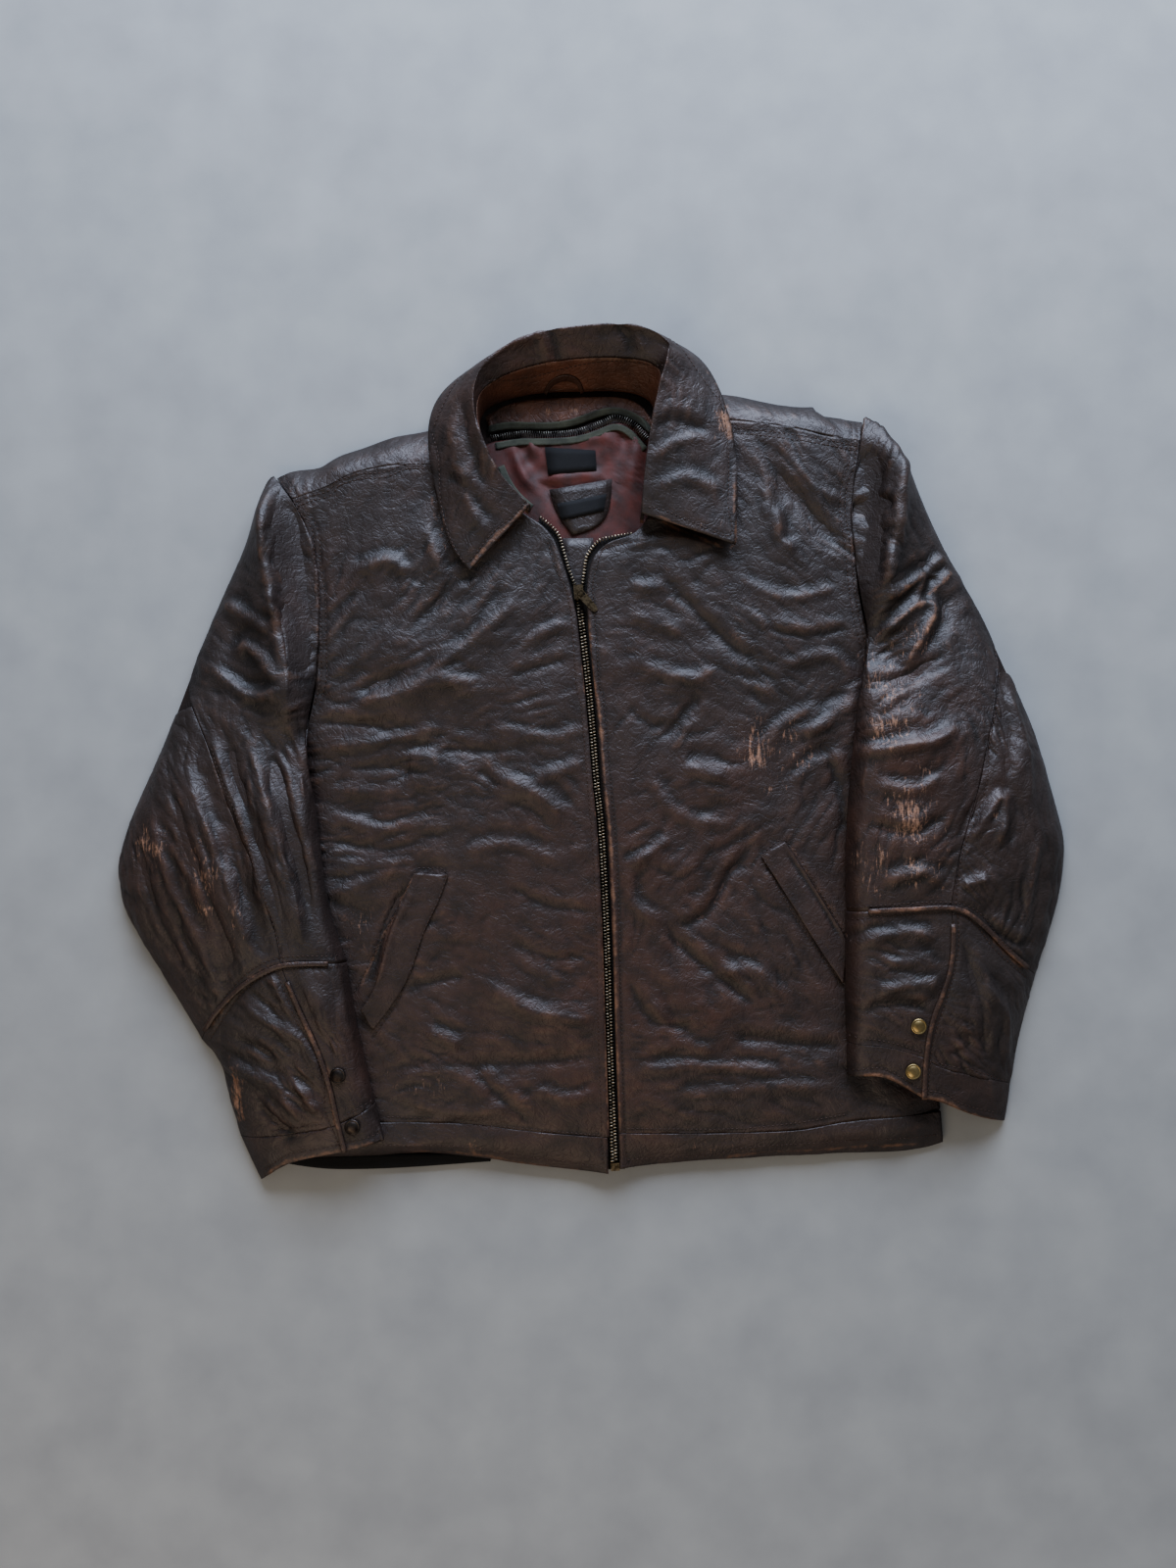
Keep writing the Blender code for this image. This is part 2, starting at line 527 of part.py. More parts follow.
def pull_in(xy, rim, distance):
    """Move the rim of a grid inwards, so that the piece stays behind its seams."""
    ring = xy[rim]
    x, y = ring.T
    area = 0.5 * (x @ np.roll(y, -1) - y @ np.roll(x, -1))
    turn = 1 if area > 0 else -1
    before, after = ring - np.roll(ring, 1, axis=0), np.roll(ring, -1, axis=0) - ring
    normals = []
    for edge in (before, after):
        edge = edge / np.linalg.norm(edge, axis=1)[:, None]
        normals.append(turn * np.stack([-edge[:, 1], edge[:, 0]], axis=1))
    total = normals[0] + normals[1]
    scale = np.maximum(1 + (normals[0] * normals[1]).sum(axis=1), 0.35)
    moved = xy.copy()
    moved[rim] = ring + distance * total / scale[:, None]
    return moved


def panel(name, finish, left, right, top, bottom, wall=SHELL, on=(), floor=None, folds=(), rolls=(),
          swell=0.0, crown=0.0, lift=None, inset=SEAM):
    """A wall of cloth between four seam lines, seated on the pieces under it."""
    u = 0.5 * (along(top) + along(bottom))
    v = 0.5 * (along(left) + along(right))
    uu, vv = u[None, :, None], v[:, None, None]
    grid = (left[:, None] * (1 - uu) + right[:, None] * uu + top[None] * (1 - vv) + bottom[None] * vv
            - (1 - uu) * (1 - vv) * left[0] - uu * (1 - vv) * right[0]
            - (1 - uu) * vv * left[-1] - uu * vv * right[-1])
    rows, cols = len(v) - 1, len(u) - 1
    points = grid.reshape(-1, 3)
    xy, z = points[:, :2], points[:, 2].copy()
    x, y = xy[[0, cols, (rows + 1) * (cols + 1) - 1, rows * (cols + 1)]].T
    flip = x @ np.roll(y, -1) - y @ np.roll(x, -1) > 0
    faces, upper, rim = wall_faces(rows, cols, flip)
    middle = (16 * uu * (1 - uu) * vv * (1 - vv)).reshape(-1)
    z = z + swell * middle + relief(xy, folds) - rolled(xy, rolls)
    xy = pull_in(xy, rim, inset)
    low = seat(xy, z - wall, upper, on, floor)
    if lift is not None:
        low = low + (lift * (1 - uu) * np.ones_like(vv)).reshape(-1)
    high = low + wall + crown * (4 * uu * (1 - uu) * np.ones_like(vv)).reshape(-1)
    points = np.vstack([np.column_stack([xy, high]), np.column_stack([xy, low])])
    return solid(name, points, faces, finish)


def strip(name, finish, path, half, count, wall, on, cols=1, crown=0.0, lift=None):
    """A ribbon that lies along a path on other pieces, in count steps or at the path's own points."""
    path = [(*p[:2], NOWHERE) for p in path]
    line = curve(path, count) if count else np.array(path, float)
    left, right = offset(line, half), offset(line, -half)
    top = left[0] + np.linspace(0, 1, cols + 1)[:, None] * (right[0] - left[0])
    bottom = left[-1] + np.linspace(0, 1, cols + 1)[:, None] * (right[-1] - left[-1])
    return panel(name, finish, left, right, top, bottom, wall, on, crown=crown, lift=lift, inset=0.0)


def flat_piece(name, finish, outline, low, high, inset=SEAM):
    """A flat piece with any outline."""
    xy = pull_in(np.array(outline, float)[:, :2], list(range(len(outline))), inset)
    x, y = xy.T
    if x @ np.roll(y, -1) - y @ np.roll(x, -1) < 0:
        xy = xy[::-1]
    shape = bmesh.new()
    face = shape.faces.new([shape.verts.new((*p, 0)) for p in xy])
    bmesh.ops.triangulate(shape, faces=[face])
    shape.verts.index_update()
    count = len(xy)
    caps = [[v.index for v in f.verts] for f in shape.faces]
    if shape.faces[:][0].normal.z < 0:
        caps = [cap[::-1] for cap in caps]
    shape.free()
    faces = caps + [[i + count for i in reversed(cap)] for cap in caps]
    for a in range(count):
        b = (a + 1) % count
        faces += [(b, a, a + count), (b, a + count, b + count)]
    points = [(*p, high) for p in xy] + [(*p, low) for p in xy]
    return solid(name, points, faces, finish)


def seated_patch(name, finish, outline, wall, on):
    """A small flat piece that lies level just above the highest point under it."""
    xy = np.array(outline, float)
    below = Below(on)
    middle = xy.mean(axis=0)
    spots = [middle + k * (p - middle) for p in smooth([*outline, outline[0]], 4)[:, :2]
             for k in (0.3, 0.6, 0.8, 1.0)]
    low = max(below.height(*p) for p in spots) + GAP
    return flat_piece(name, finish, [(*p, 0) for p in xy], low, low + wall, inset=0.0)


# The jacket's pieces

def body_edges(side):
    """A front's row of teeth, its edge along them, and the edge's corner on the hem seam."""
    sign = 1 if side is RIGHT else -1
    opening = [(*p, 24) for p in (RIGHT_OPEN if side is RIGHT else LEFT_OPEN)]
    closed = [(x - sign * HALF_CHAIN, y, 23) for x, y in ZIP]
    teeth = chain(curve(opening, 7), curve([opening[-1], *closed], N_ZIP))
    edge = offset(teeth, -sign * LEATHER_OFF)
    seam_y = side.hem_seam[-1][1]
    upper = edge[edge[:, 1] > seam_y + 6]
    corner = [np.interp(-seam_y, -edge[:, 1], edge[:, 0]), seam_y, side.hem_seam[-1][2]]
    return teeth, np.vstack([curve(side.neck, 8), upper[1:], corner]), np.array(corner)


def even(line, count):
    """A line of many points as count equal steps."""
    s = along(line)
    at = np.linspace(0, 1, count + 1)
    return np.stack([np.interp(at, s, line[:, k]) for k in range(3)], axis=1)


def back():
    """The back lies flat on the ground."""
    right = chain(curve(RIGHT.strip_end, N_END), curve(RIGHT.armhole, N_ARMHOLE),
                  curve(RIGHT.side, 8), curve(RIGHT.side_hem, 1))
    left = chain(curve(LEFT.strip_end, N_END), curve(LEFT.armhole, N_ARMHOLE), curve(LEFT.side, 8),
                 curve(LEFT.side_hem, 1))
    yoke = chain(curve(RIGHT.yoke, 12), np.vstack([RIGHT.yoke[-1], BACK_NECK, LEFT.yoke[-1]]),
                 curve(LEFT.yoke, 12)[::-1])
    hem = curve(BACK_HEM, 8)
    outline = np.vstack([right[::-1], yoke[1:-1], left[:-1], hem[::-1][:-1]])
    flat_piece("back", LEATHER_DARK, outline, 0.0, BACK)


def straight(a, b, count=1):
    """Points from a to b in equal steps."""
    return a + np.linspace(0, 1, count + 1)[:, None] * (b - a)


def liner():
    """The padded liner: its back shows in the neck, its fronts lie under the jacket's fronts."""
    top = curve([(x, y, 9) for x, y, _ in LINER_TOP], 9)
    edges = []
    for side, corner in ((RIGHT, top[0]), (LEFT, top[-1])):
        edges.append(chain(curve([corner, side.liner_side[0]], 2), curve(side.liner_side, 8)))
    panel("liner_back", NYLON_MAROON, *edges, top, curve(LINER_HEM, 9), LINER, ["back"], inset=0.0,
          rolls=[(edge[2:], 4, 14) for edge in edges])
    for side in (RIGHT, LEFT):
        outer, inner = curve(side.liner_outer, 9), curve(side.liner_edge, 9)
        panel(side.name + "_liner_front", NYLON_MAROON, outer, inner, curve(side.liner_neck, 4),
              straight(outer[-1], inner[-1], 4), LINER, ["liner_back", "back"], inset=0.0,
              rolls=[(outer, 4, 14)])


def pile_edge():
    """The liner's pile shows as a dark edge under the hem."""
    inner, outer = curve(PILE_INNER, 10), curve(PILE_OUTER, 10)
    panel("liner_pile_edge", PILE_BLACK, inner, outer, straight(inner[0], outer[0]),
          straight(inner[-1], outer[-1]), PILE, ["back"], floor=0.0, inset=0.0)


def wind_flap():
    """The leather flap behind the zip, which shows in the open V."""
    strip("wind_flap", LEATHER_DARK, WIND_FLAP, 14, 16, TRIM,
          ["liner_back", "right_liner_front", "left_liner_front"], cols=3)


def zip_tapes(side):
    sign = 1 if side is RIGHT else -1
    teeth, _, _ = body_edges(side)
    foot = teeth[-1] + (teeth[-1] - teeth[-2]) * TAPE_FOOT / np.linalg.norm(teeth[-1] - teeth[-2])
    line = offset(np.vstack([teeth, foot]), -sign * 3.4)
    under = ["wind_flap", "liner_back", "right_liner_front", "left_liner_front"]
    strip(side.name + "_zip_tape", TAPE_DARK, line, 4.6, None, TAPE, under)


def zip_teeth(side):
    teeth, _, _ = body_edges(side)
    strip(side.name + "_zip_teeth", BRASS_OLD, teeth, TOOTH_HALF, None, TEETH,
          ["right_zip_tape", "left_zip_tape", "wind_flap"])


def front(side):
    """A front, from its shoulder seam and neck to the hem seam."""
    _, inner, corner = body_edges(side)
    outer = chain(curve(side.armhole, N_ARMHOLE), curve(side.side, N_SIDE))
    top = curve(side.shoulder, N_SHOULDER)
    bottom = curve([*side.hem_seam[:-1], corner], N_SHOULDER)
    under = ["back", "liner_back", "right_liner_front", "left_liner_front", "liner_pile_edge", "wind_flap",
             side.name + "_zip_tape"]
    panel(side.name + "_front", LEATHER_DARK, outer, even(inner, N_ARMHOLE + N_SIDE), top, bottom,
          SHELL, under, folds=side.front_folds, swell=2.0, rolls=[(curve(side.side, 20)[3:], 5, 16)])


def hem_band(side):
    sign = 1 if side is RIGHT else -1
    teeth, _, corner = body_edges(side)
    edge = offset(teeth, -sign * LEATHER_OFF)
    low_x = np.interp(372, -edge[:, 1], edge[:, 0])
    end = np.array([low_x, side.hem[-1][1], side.hem[-1][2]])
    top = curve([*side.hem_seam[:-1], corner], N_SHOULDER)
    bottom = curve([*side.hem[:-1], end], N_SHOULDER)
    under = ["back", "liner_back", "right_liner_front", "left_liner_front", "liner_pile_edge", "wind_flap",
             side.name + "_zip_tape"]
    panel(side.name + "_hem_band", LEATHER_DARK, curve(side.side_hem, 3), curve([corner, end], 3), top,
          bottom, SHELL, under, rolls=[(bottom, 4, 8)])


def shoulder_strip(side):
    """The back's leather over the shoulder, with the fold of its pleat near the sleeve."""
    pleat = {"right": (4, 7, [(-238, 268), (-232, 250)]), "left": (4, 7, [(207, 314), (205, 296)])}
    left = curve(side.strip_end, N_END)
    panel(side.name + "_shoulder_strip", LEATHER_DARK, left, curve(side.strip_neck, N_END),
          curve(side.yoke, N_SHOULDER), curve(side.shoulder, N_SHOULDER), SHELL,
          ["back", "liner_back", "right_liner_front", "left_liner_front"], folds=[pleat[side.name]],
          rolls=[(curve(side.yoke, 24), 8, 10)], swell=3.0)


def pocket_welt(side):
    """The welt lies on the front. Its free edge stands away where the pocket gapes."""
    free, inner = curve(side.welt_free, 8), curve(side.welt_inner, 8)
    free[:, 2] = inner[:, 2] = NOWHERE
    panel(side.name + "_pocket_welt", LEATHER_DARK, free, inner, straight(free[0], inner[0], 2),
          straight(free[-1], inner[-1], 2), TRIM, [side.name + "_front"], inset=0.0, lift=side.welt_lift)


def sleeve_under(side, body):
    """The under panel of a sleeve, on the ground and on the body."""
    inner = chain(curve(side.strip_end, N_END), curve(side.armhole, N_ARMHOLE),
                  curve(side.inner_top, N_INNER), curve(side.inner_forearm, 5), curve(side.inner_cuff, 2))
    outer = chain(curve(side.outer_top, 6), curve(side.outer_elbow, 11), curve(side.outer_forearm, 6),
                  curve(side.outer_cuff, 3))
    cuff = chain(curve(side.cuff_outer, 4), curve(side.cuff_inner, 2))
    for line in (inner, outer, cuff):
        line[:, 2] = SHELL
    panel(side.name + "_sleeve_under", LEATHER_DARK, outer, inner, straight(outer[0], inner[0], 6), cuff,
          SHELL, body, floor=0.0, inset=0.4)


def sleeve_rolls(side):
    """The sleeve's rounded edges."""
    outer = (side.outer_top, side.outer_elbow, side.outer_forearm, side.outer_cuff)
    inner = (side.inner_top, side.inner_forearm, side.inner_cuff)
    return [(curve(line, 14), 13, 15) for line in outer] + [(curve(line, 14)[1:], 18, 13) for line in inner]


def sleeve(side):
    """One sleeve: its under panel, then the panels over it with their piping and snaps."""
    name = side.name
    body = ["back", "right_front", "left_front", "right_hem_band", "left_hem_band",
            "right_shoulder_strip", "left_shoulder_strip", name + "_pocket_welt"]
    sleeve_under(side, body)
    under = [*body, name + "_sleeve_under"]
    rolls = sleeve_rolls(side)
    cross_outer = curve(side.cross_outer, N_CROSS_OUTER, True)
    cross_inner = curve(side.cross_inner, N_CROSS_INNER, True)
    long_seam = curve(side.long_seam, N_LONG)
    inner = chain(curve(side.strip_end, N_END), curve(side.armhole, N_ARMHOLE),
                  curve(side.inner_top, N_INNER))
    outer = chain(curve(side.outer_top, N_OUTER), long_seam)
    panel(name + "_sleeve_top", LEATHER_DARK, outer, inner, straight(outer[0], inner[0], N_CROSS_INNER),
          cross_inner, SHELL, under, folds=[(side.ridge_height, 17, side.ridge)] + side.sleeve_folds,
          rolls=rolls, swell=6.0)
    elbow = curve(side.outer_elbow, N_LONG)[1:]
    panel(name + "_sleeve_outer", LEATHER_DARK, elbow, long_seam[1:],
          straight(elbow[0], long_seam[1], N_CROSS_OUTER), cross_outer, SHELL, under,
          folds=side.elbow_folds, rolls=rolls, swell=7.0)
    placket, opening = curve(side.placket, N_PLACKET), curve(side.placket_cuff, N_CUFF)
    seam_outer = curve(side.cuff_seam_outer, N_CROSS_OUTER, True)
    seam_inner = curve(side.cuff_seam_inner, N_CROSS_INNER, True)
    panel(name + "_forearm_outer", LEATHER_DARK, curve(side.outer_forearm, N_PLACKET), placket, cross_outer,
          seam_outer, SHELL, under, folds=side.forearm_outer_folds, rolls=rolls, swell=4.0)
    panel(name + "_forearm_inner", LEATHER_DARK, placket, curve(side.inner_forearm, N_PLACKET),
          cross_inner, seam_inner, SHELL, under, folds=side.forearm_inner_folds, rolls=rolls, swell=2.0)
    panel(name + "_cuff_outer", LEATHER_DARK, curve(side.outer_cuff, N_CUFF), opening, seam_outer,
          curve(side.cuff_outer, N_CROSS_OUTER, True), SHELL, under, rolls=rolls)
    panel(name + "_cuff_inner", LEATHER_DARK, opening, curve(side.inner_cuff, N_CUFF), seam_inner,
          curve(side.cuff_inner, N_CROSS_INNER, True), SHELL, under, rolls=rolls)
    sleeve_trim(side, chain(cross_outer, cross_inner), chain(placket, opening))


def sleeve_trim(side, cross, placket):
    """The piping over the elbow seam and along the placket, and the two snaps."""
    tops = [side.name + part for part in ("_sleeve_top", "_sleeve_outer", "_forearm_outer",
                                          "_forearm_inner", "_cuff_outer", "_cuff_inner")]
    strip(side.name + "_elbow_piping", LEATHER_WORN, even(cross, 13)[1:-1], PIPING, None, PIPING_WALL,
          tops, cols=2, crown=0.8)
    strip(side.name + "_placket_piping", LEATHER_WORN, even(placket, 11)[1:], PIPING, None, PIPING_WALL,
          [*tops, side.name + "_elbow_piping"], cols=2, crown=0.8)
    for number, (x, y) in enumerate(side.snaps, 1):
        snap(f"{side.name}_snap_{number}", x, y, [*tops, side.name + "_placket_piping"],
             BRASS_OLD if side is LEFT else SNAP_DARK)


def snap(name, x, y, on, finish):
    """A domed snap cap, turned from its half profile."""
    profile = [(0.0, 2.6), (3.0, 2.4), (5.6, 1.7), (7.0, 0.6), (7.0, 0.0)]
    sides = 12
    turns = [(math.cos(a), math.sin(a)) for a in np.linspace(0, 2 * math.pi, sides, endpoint=False)]
    below = Below(on)
    rim = profile[-1][0]
    low = max(below.height(*p) for p in [(x, y), *[(x + rim * c, y + rim * s) for c, s in turns]]) + GAP
    points = [(x, y, low + profile[0][1])]
    for radius, height in profile[1:]:
        points += [(x + radius * c, y + radius * s, low + height) for c, s in turns]
    points.append((x, y, low))
    faces = []
    rings = len(profile) - 1
    for k in range(sides):
        n = (k + 1) % sides
        faces.append((0, 1 + k, 1 + n))
        for r in range(rings - 1):
            a, b = 1 + r * sides + k, 1 + r * sides + n
            faces += [(a, a + sides, b + sides), (a, b + sides, b)]
        last = 1 + (rings - 1) * sides
        faces.append((len(points) - 1, last + n, last + k))
    solid(name, points, faces, finish)


def collar():
    """The collar's wall from its foot up to the roll and down to the free edge, cut at the stand seam."""
    foot, stand, roll, free = (smooth(line, COLLAR_STEPS) for line in (FOOT, STAND, ROLL, FREE))
    lift = np.array([0.0, 0.0, 1.0])
    half = 0.5 * GAP
    up = stand - foot
    over = roll - stand
    out = free - roll
    out_length = np.linalg.norm(out, axis=1)[:, None]
    sections = [foot, foot + 0.5 * up, stand, stand + 0.5 * over + 0.4 * lift,
                roll, roll + out * np.minimum(9 / out_length, 0.3) + 0.5 * lift,
                roll + 0.4 * out + 1.6 * lift, roll + 0.72 * out + 1.4 * lift, free]
    outer = np.stack(sections, axis=1)
    normal = np.cross(np.gradient(outer, axis=0), np.gradient(outer, axis=1))
    normal /= np.linalg.norm(normal, axis=2)[..., None]
    if normal[2, 7, 2] < 0:
        normal = -normal
    inner = outer - COLLAR * normal
    leaf = slice(6, 9)
    below = ["right_front", "left_front", "right_shoulder_strip", "left_shoulder_strip",
             "right_sleeve_top", "left_sleeve_top", "back"]
    xy = inner[:, leaf, :2].reshape(-1, 2)
    before = inner[:, leaf, 2].reshape(-1)
    _, faces, _ = wall_faces(len(foot) - 1, 2, False)
    rise = (seat(xy, before, faces, below, 0.4) - before).reshape(-1, 3)
    for grid in (inner, outer):
        grid[:, leaf, 2] += rise
        grid[:, 5, 2] += 0.4 * rise[:, 0]
    for name, first, last in (("collar_stand", 0, 2), ("collar_fall", 2, 8)):
        upper, lower = outer[:, first:last + 1].copy(), inner[:, first:last + 1].copy()
        for grid in (upper, lower):
            end, nxt = (0, 1) if first else (-1, -2)
            way = grid[:, nxt] - grid[:, end]
            grid[:, end] += half * way / np.linalg.norm(way, axis=1)[:, None]
        rows, cols = upper.shape[0] - 1, upper.shape[1] - 1
        faces, _, _ = wall_faces(rows, cols, False)
        points = np.vstack([upper.reshape(-1, 3), lower.reshape(-1, 3)])
        volume = sum(np.dot(points[a], np.cross(points[b], points[c])) for a, b, c in faces)
        if volume < 0:
            faces = [face[::-1] for face in faces]
        solid(name, points, faces, LEATHER_DARK)


def neck():
    """Facing, liner zip, loop and labels in the open neck."""
    base = ["back", "liner_back", "right_liner_front", "left_liner_front"]
    top, bottom = curve(NECK_FACING_TOP, 10), curve(GREEN_UPPER, 10)
    top[:, 2] = bottom[:, 2] = 5.5
    panel("neck_facing", LEATHER_WORN, straight(top[0], bottom[0], 2), straight(top[-1], bottom[-1], 2),
          top, bottom, TRIM, base, inset=0.2)
    tapes = ["neck_facing", "liner_tape_upper", "liner_tape_lower"]
    strip("liner_tape_upper", TAPE_GREEN, GREEN_UPPER, 3.1, 12, TAPE, base + tapes[:1])
    strip("liner_tape_lower", TAPE_GREEN, GREEN_LOWER, 3.1, 12, TAPE, base + tapes[:2])
    strip("liner_zip_teeth", TAPE_DARK, LINER_TEETH, 3.4, 12, 2.0, base + tapes)
    strip("liner_tape_front", TAPE_GREEN, LINER_FRONT_TAPE, 3.1, 5, TAPE, base + tapes)
    seated_patch("small_label", WOVEN_BLACK, SMALL_LABEL, LABEL, base)
    seated_patch("label_patch", LEATHER_DARK, PATCH, 1.6, base)
    seated_patch("patch_label", WOVEN_BLACK, PATCH_LABEL, LABEL, base + ["label_patch"])


def box_solid(name, finish, centre, size, turn=0.0):
    """A block with its lower face at the centre's height."""
    sx, sy, sz = size
    c, s = math.cos(turn), math.sin(turn)
    points = []
    for dz in (0, sz):
        for dx, dy in ((-1, -1), (1, -1), (1, 1), (-1, 1)):
            px, py = dx * sx / 2, dy * sy / 2
            points.append((centre[0] + px * c - py * s, centre[1] + px * s + py * c, centre[2] + dz))
    faces = [(0, 3, 2), (0, 2, 1), (4, 5, 6), (4, 6, 7)]
    for a in range(4):
        b = (a + 1) % 4
        faces += [(a, b, b + 4), (a, b + 4, a + 4)]
    return solid(name, points, faces, finish)


def join_to(base, other):
    """Boolean union of a helper into a piece. The helper itself is a hidden guide."""
    other.hide_render = True
    other.display_type = "WIRE"
    mod = base.modifiers.new("union_" + other.name, "BOOLEAN")
    mod.operation = "UNION"
    mod.solver = "EXACT"
    mod.object = other


def slider_and_tab():
    """The slider with its bridge, and the pull tab whose ring turns under the bridge.

    The tab lies flat on the left front's edge, which stands higher than the teeth.
    """
    x, y = SLIDER_AT
    below = Below(["right_zip_teeth", "left_zip_teeth", "right_zip_tape", "left_zip_tape"])
    spots = [(x + a, y + b) for a in (-4, -2, 0, 2, 4) for b in (-7, -4, 0, 4, 7)]
    low = max(below.height(*p) for p in spots) + GAP
    leather = Below(["left_front"])
    c, s = math.cos(TAB_TURN), math.sin(TAB_TURN)
    under_tab = [(x + a * c - b * s, y + a * s + b * c) for a in range(0, 28, 3) for b in (-4, 0, 4)]
    pivot = max(leather.height(*p) for p in under_tab) + GAP + TAB_HALF
    crown_top = low + CROWN_TALL
    crown = box_solid("zip_slider", BRASS_OLD, (x, y, low), (13.0, 8.6, CROWN_TALL), SLIDER_TURN)
    foot = crown_top - BRIDGE_ROOT
    tall = pivot + TAB_HALF + TAB_PLAY + BRIDGE_BAR - foot
    bridge = staple("slider_bridge", (x, y, foot), 7.4, 1.3, tall, BRIDGE_BAR)
    join_to(crown, bridge)
    pull_tab((x, y, pivot))


def staple(name, centre, length, width, height, bar):
    """A bridge: two posts and a bar, along the slider."""
    a, b, under = length / 2, length / 2 - bar, height - bar
    outline = [(-a, 0), (-b, 0), (-b, under), (b, under), (b, 0), (a, 0), (a, height), (-a, height)]
    c, s = math.cos(SLIDER_TURN), math.sin(SLIDER_TURN)
    points = []
    for off in (-width / 2, width / 2):
        points += [(centre[0] + p * c - off * s, centre[1] + p * s + off * c, centre[2] + q)
                   for p, q in outline]
    caps = [(0, 1, 2), (0, 2, 7), (7, 2, 3), (7, 3, 6), (3, 4, 5), (3, 5, 6)]
    faces = list(caps) + [tuple(i + 8 for i in reversed(cap)) for cap in caps]
    for a in range(8):
        b = (a + 1) % 8
        faces += [(b, a, a + 8), (b, a + 8, b + 8)]
    return solid(name, points, faces, BRASS_OLD)


def pull_tab(pivot):
    """The tab is a plate with a window at one end. Its origin is on its hinge, in the window's end bar."""
    half, bar = 3.6, TAB_HALF
    window = [(bar, -2.8), (bar, 2.8), (6.2, 2.8), (6.2, -2.8)]
    rim = [(-bar, -half), (-bar, half), (7.4, half + 0.2), (7.4, -half - 0.2)]
    end = [(TAB_LENGTH - 3, 3.0), (TAB_LENGTH, 1.6), (TAB_LENGTH, -1.6), (TAB_LENGTH - 3, -3.0)]
    shape = bmesh.new()
    inner = [shape.verts.new((*p, -bar)) for p in window]
    outer = [shape.verts.new((*p, -bar)) for p in rim]
    tail = [shape.verts.new((*p, -bar)) for p in end]
    for a in range(4):
        b = (a + 1) % 4
        shape.faces.new([outer[a], outer[b], inner[b], inner[a]])
    shape.faces.new([outer[3], outer[2], tail[0], tail[1], tail[2], tail[3]])
    bmesh.ops.triangulate(shape, faces=shape.faces[:])
    extruded = bmesh.ops.extrude_face_region(shape, geom=shape.faces[:])
    moved = [v for v in extruded["geom"] if isinstance(v, bmesh.types.BMVert)]
    bmesh.ops.translate(shape, verts=moved, vec=(0, 0, 2 * bar))
    bmesh.ops.recalc_face_normals(shape, faces=shape.faces[:])
    for vert in shape.verts:
        vert.co *= MM
    mesh = bpy.data.meshes.new("pull_tab")
    shape.to_mesh(mesh)
    shape.free()
    mesh.materials.append(material(BRASS_OLD))
    piece = bpy.data.objects.new("pull_tab", mesh)
    bpy.context.collection.objects.link(piece)
    piece.location = (np.array(pivot) - MIDDLE) * MM
    piece.rotation_euler = (0, 0, TAB_TURN)


def zip_box():
    """The box at the foot of the zip."""
    below = Below(["right_zip_tape", "left_zip_tape"])
    x, y = ZIP_BOX
    spots = [(x + a, y + b) for a in (-4, -2, 0, 2, 4) for b in (-3.5, 0, 3.5)]
    low = max(below.height(*p) for p in spots) + GAP
    box_solid("zip_box", BRASS_OLD, (x, y, low), (8, 7, 4), math.radians(3))


def hanger_loop():
    strip("hanger_loop", LEATHER_DARK, LOOP, 1.8, 8, LOOP_WALL, ["collar_stand", "neck_facing", "back"])


def main():
    for old in list(bpy.data.objects):
        bpy.data.objects.remove(old, do_unlink=True)
    back()
    liner()
    pile_edge()
    wind_flap()
    for side in (RIGHT, LEFT):
        zip_tapes(side)
    for side in (RIGHT, LEFT):
        zip_teeth(side)
        front(side)
        hem_band(side)
        shoulder_strip(side)
        pocket_welt(side)
    for side in (RIGHT, LEFT):
        sleeve(side)
    collar()
    neck()
    hanger_loop()
    slider_and_tab()
    zip_box()


main()
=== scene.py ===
"""The looks of a worn leather zip jacket that lies flat on the ground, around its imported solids.

Places on the jacket are read off the photograph as (across, down) in its pixels, and `laid` turns
them to millimetres on the jacket: one pixel is 0.9 mm on the ground, and a little less higher up.
Right and left are the wearer's, so the right side is at the left of the picture.
"""

import math
from functools import partial

import bmesh
import bpy
import numpy as np
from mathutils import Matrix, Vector
from mathutils.bvhtree import BVHTree


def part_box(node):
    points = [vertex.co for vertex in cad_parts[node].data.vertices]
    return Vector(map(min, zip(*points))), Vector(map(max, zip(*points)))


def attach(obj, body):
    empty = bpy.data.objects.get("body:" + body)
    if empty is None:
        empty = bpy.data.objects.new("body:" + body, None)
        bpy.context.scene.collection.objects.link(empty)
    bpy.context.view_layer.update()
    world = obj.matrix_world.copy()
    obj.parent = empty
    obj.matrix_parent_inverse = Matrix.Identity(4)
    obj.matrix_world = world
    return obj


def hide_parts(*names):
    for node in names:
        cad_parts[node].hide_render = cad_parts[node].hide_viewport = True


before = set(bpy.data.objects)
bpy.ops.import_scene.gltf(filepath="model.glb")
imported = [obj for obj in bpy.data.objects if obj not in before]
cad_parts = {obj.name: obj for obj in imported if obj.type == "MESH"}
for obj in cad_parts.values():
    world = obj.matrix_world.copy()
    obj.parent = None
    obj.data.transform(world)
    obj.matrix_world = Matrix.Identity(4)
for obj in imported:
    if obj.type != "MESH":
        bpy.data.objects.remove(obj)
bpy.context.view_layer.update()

MM = 0.001
EYE = (-2.75, -26.75, 1350.0)  # the camera, in millimetres
PIXEL = 0.9


# Places

def laid(points, z):
    """Places in the picture, as millimetres on the jacket at the height z."""
    p = np.array(points, float)
    k = PIXEL * (1 - z / EYE[2])
    return np.column_stack([(p[:, 0] - 600) * k + EYE[0], (800 - p[:, 1]) * k + EYE[1]])


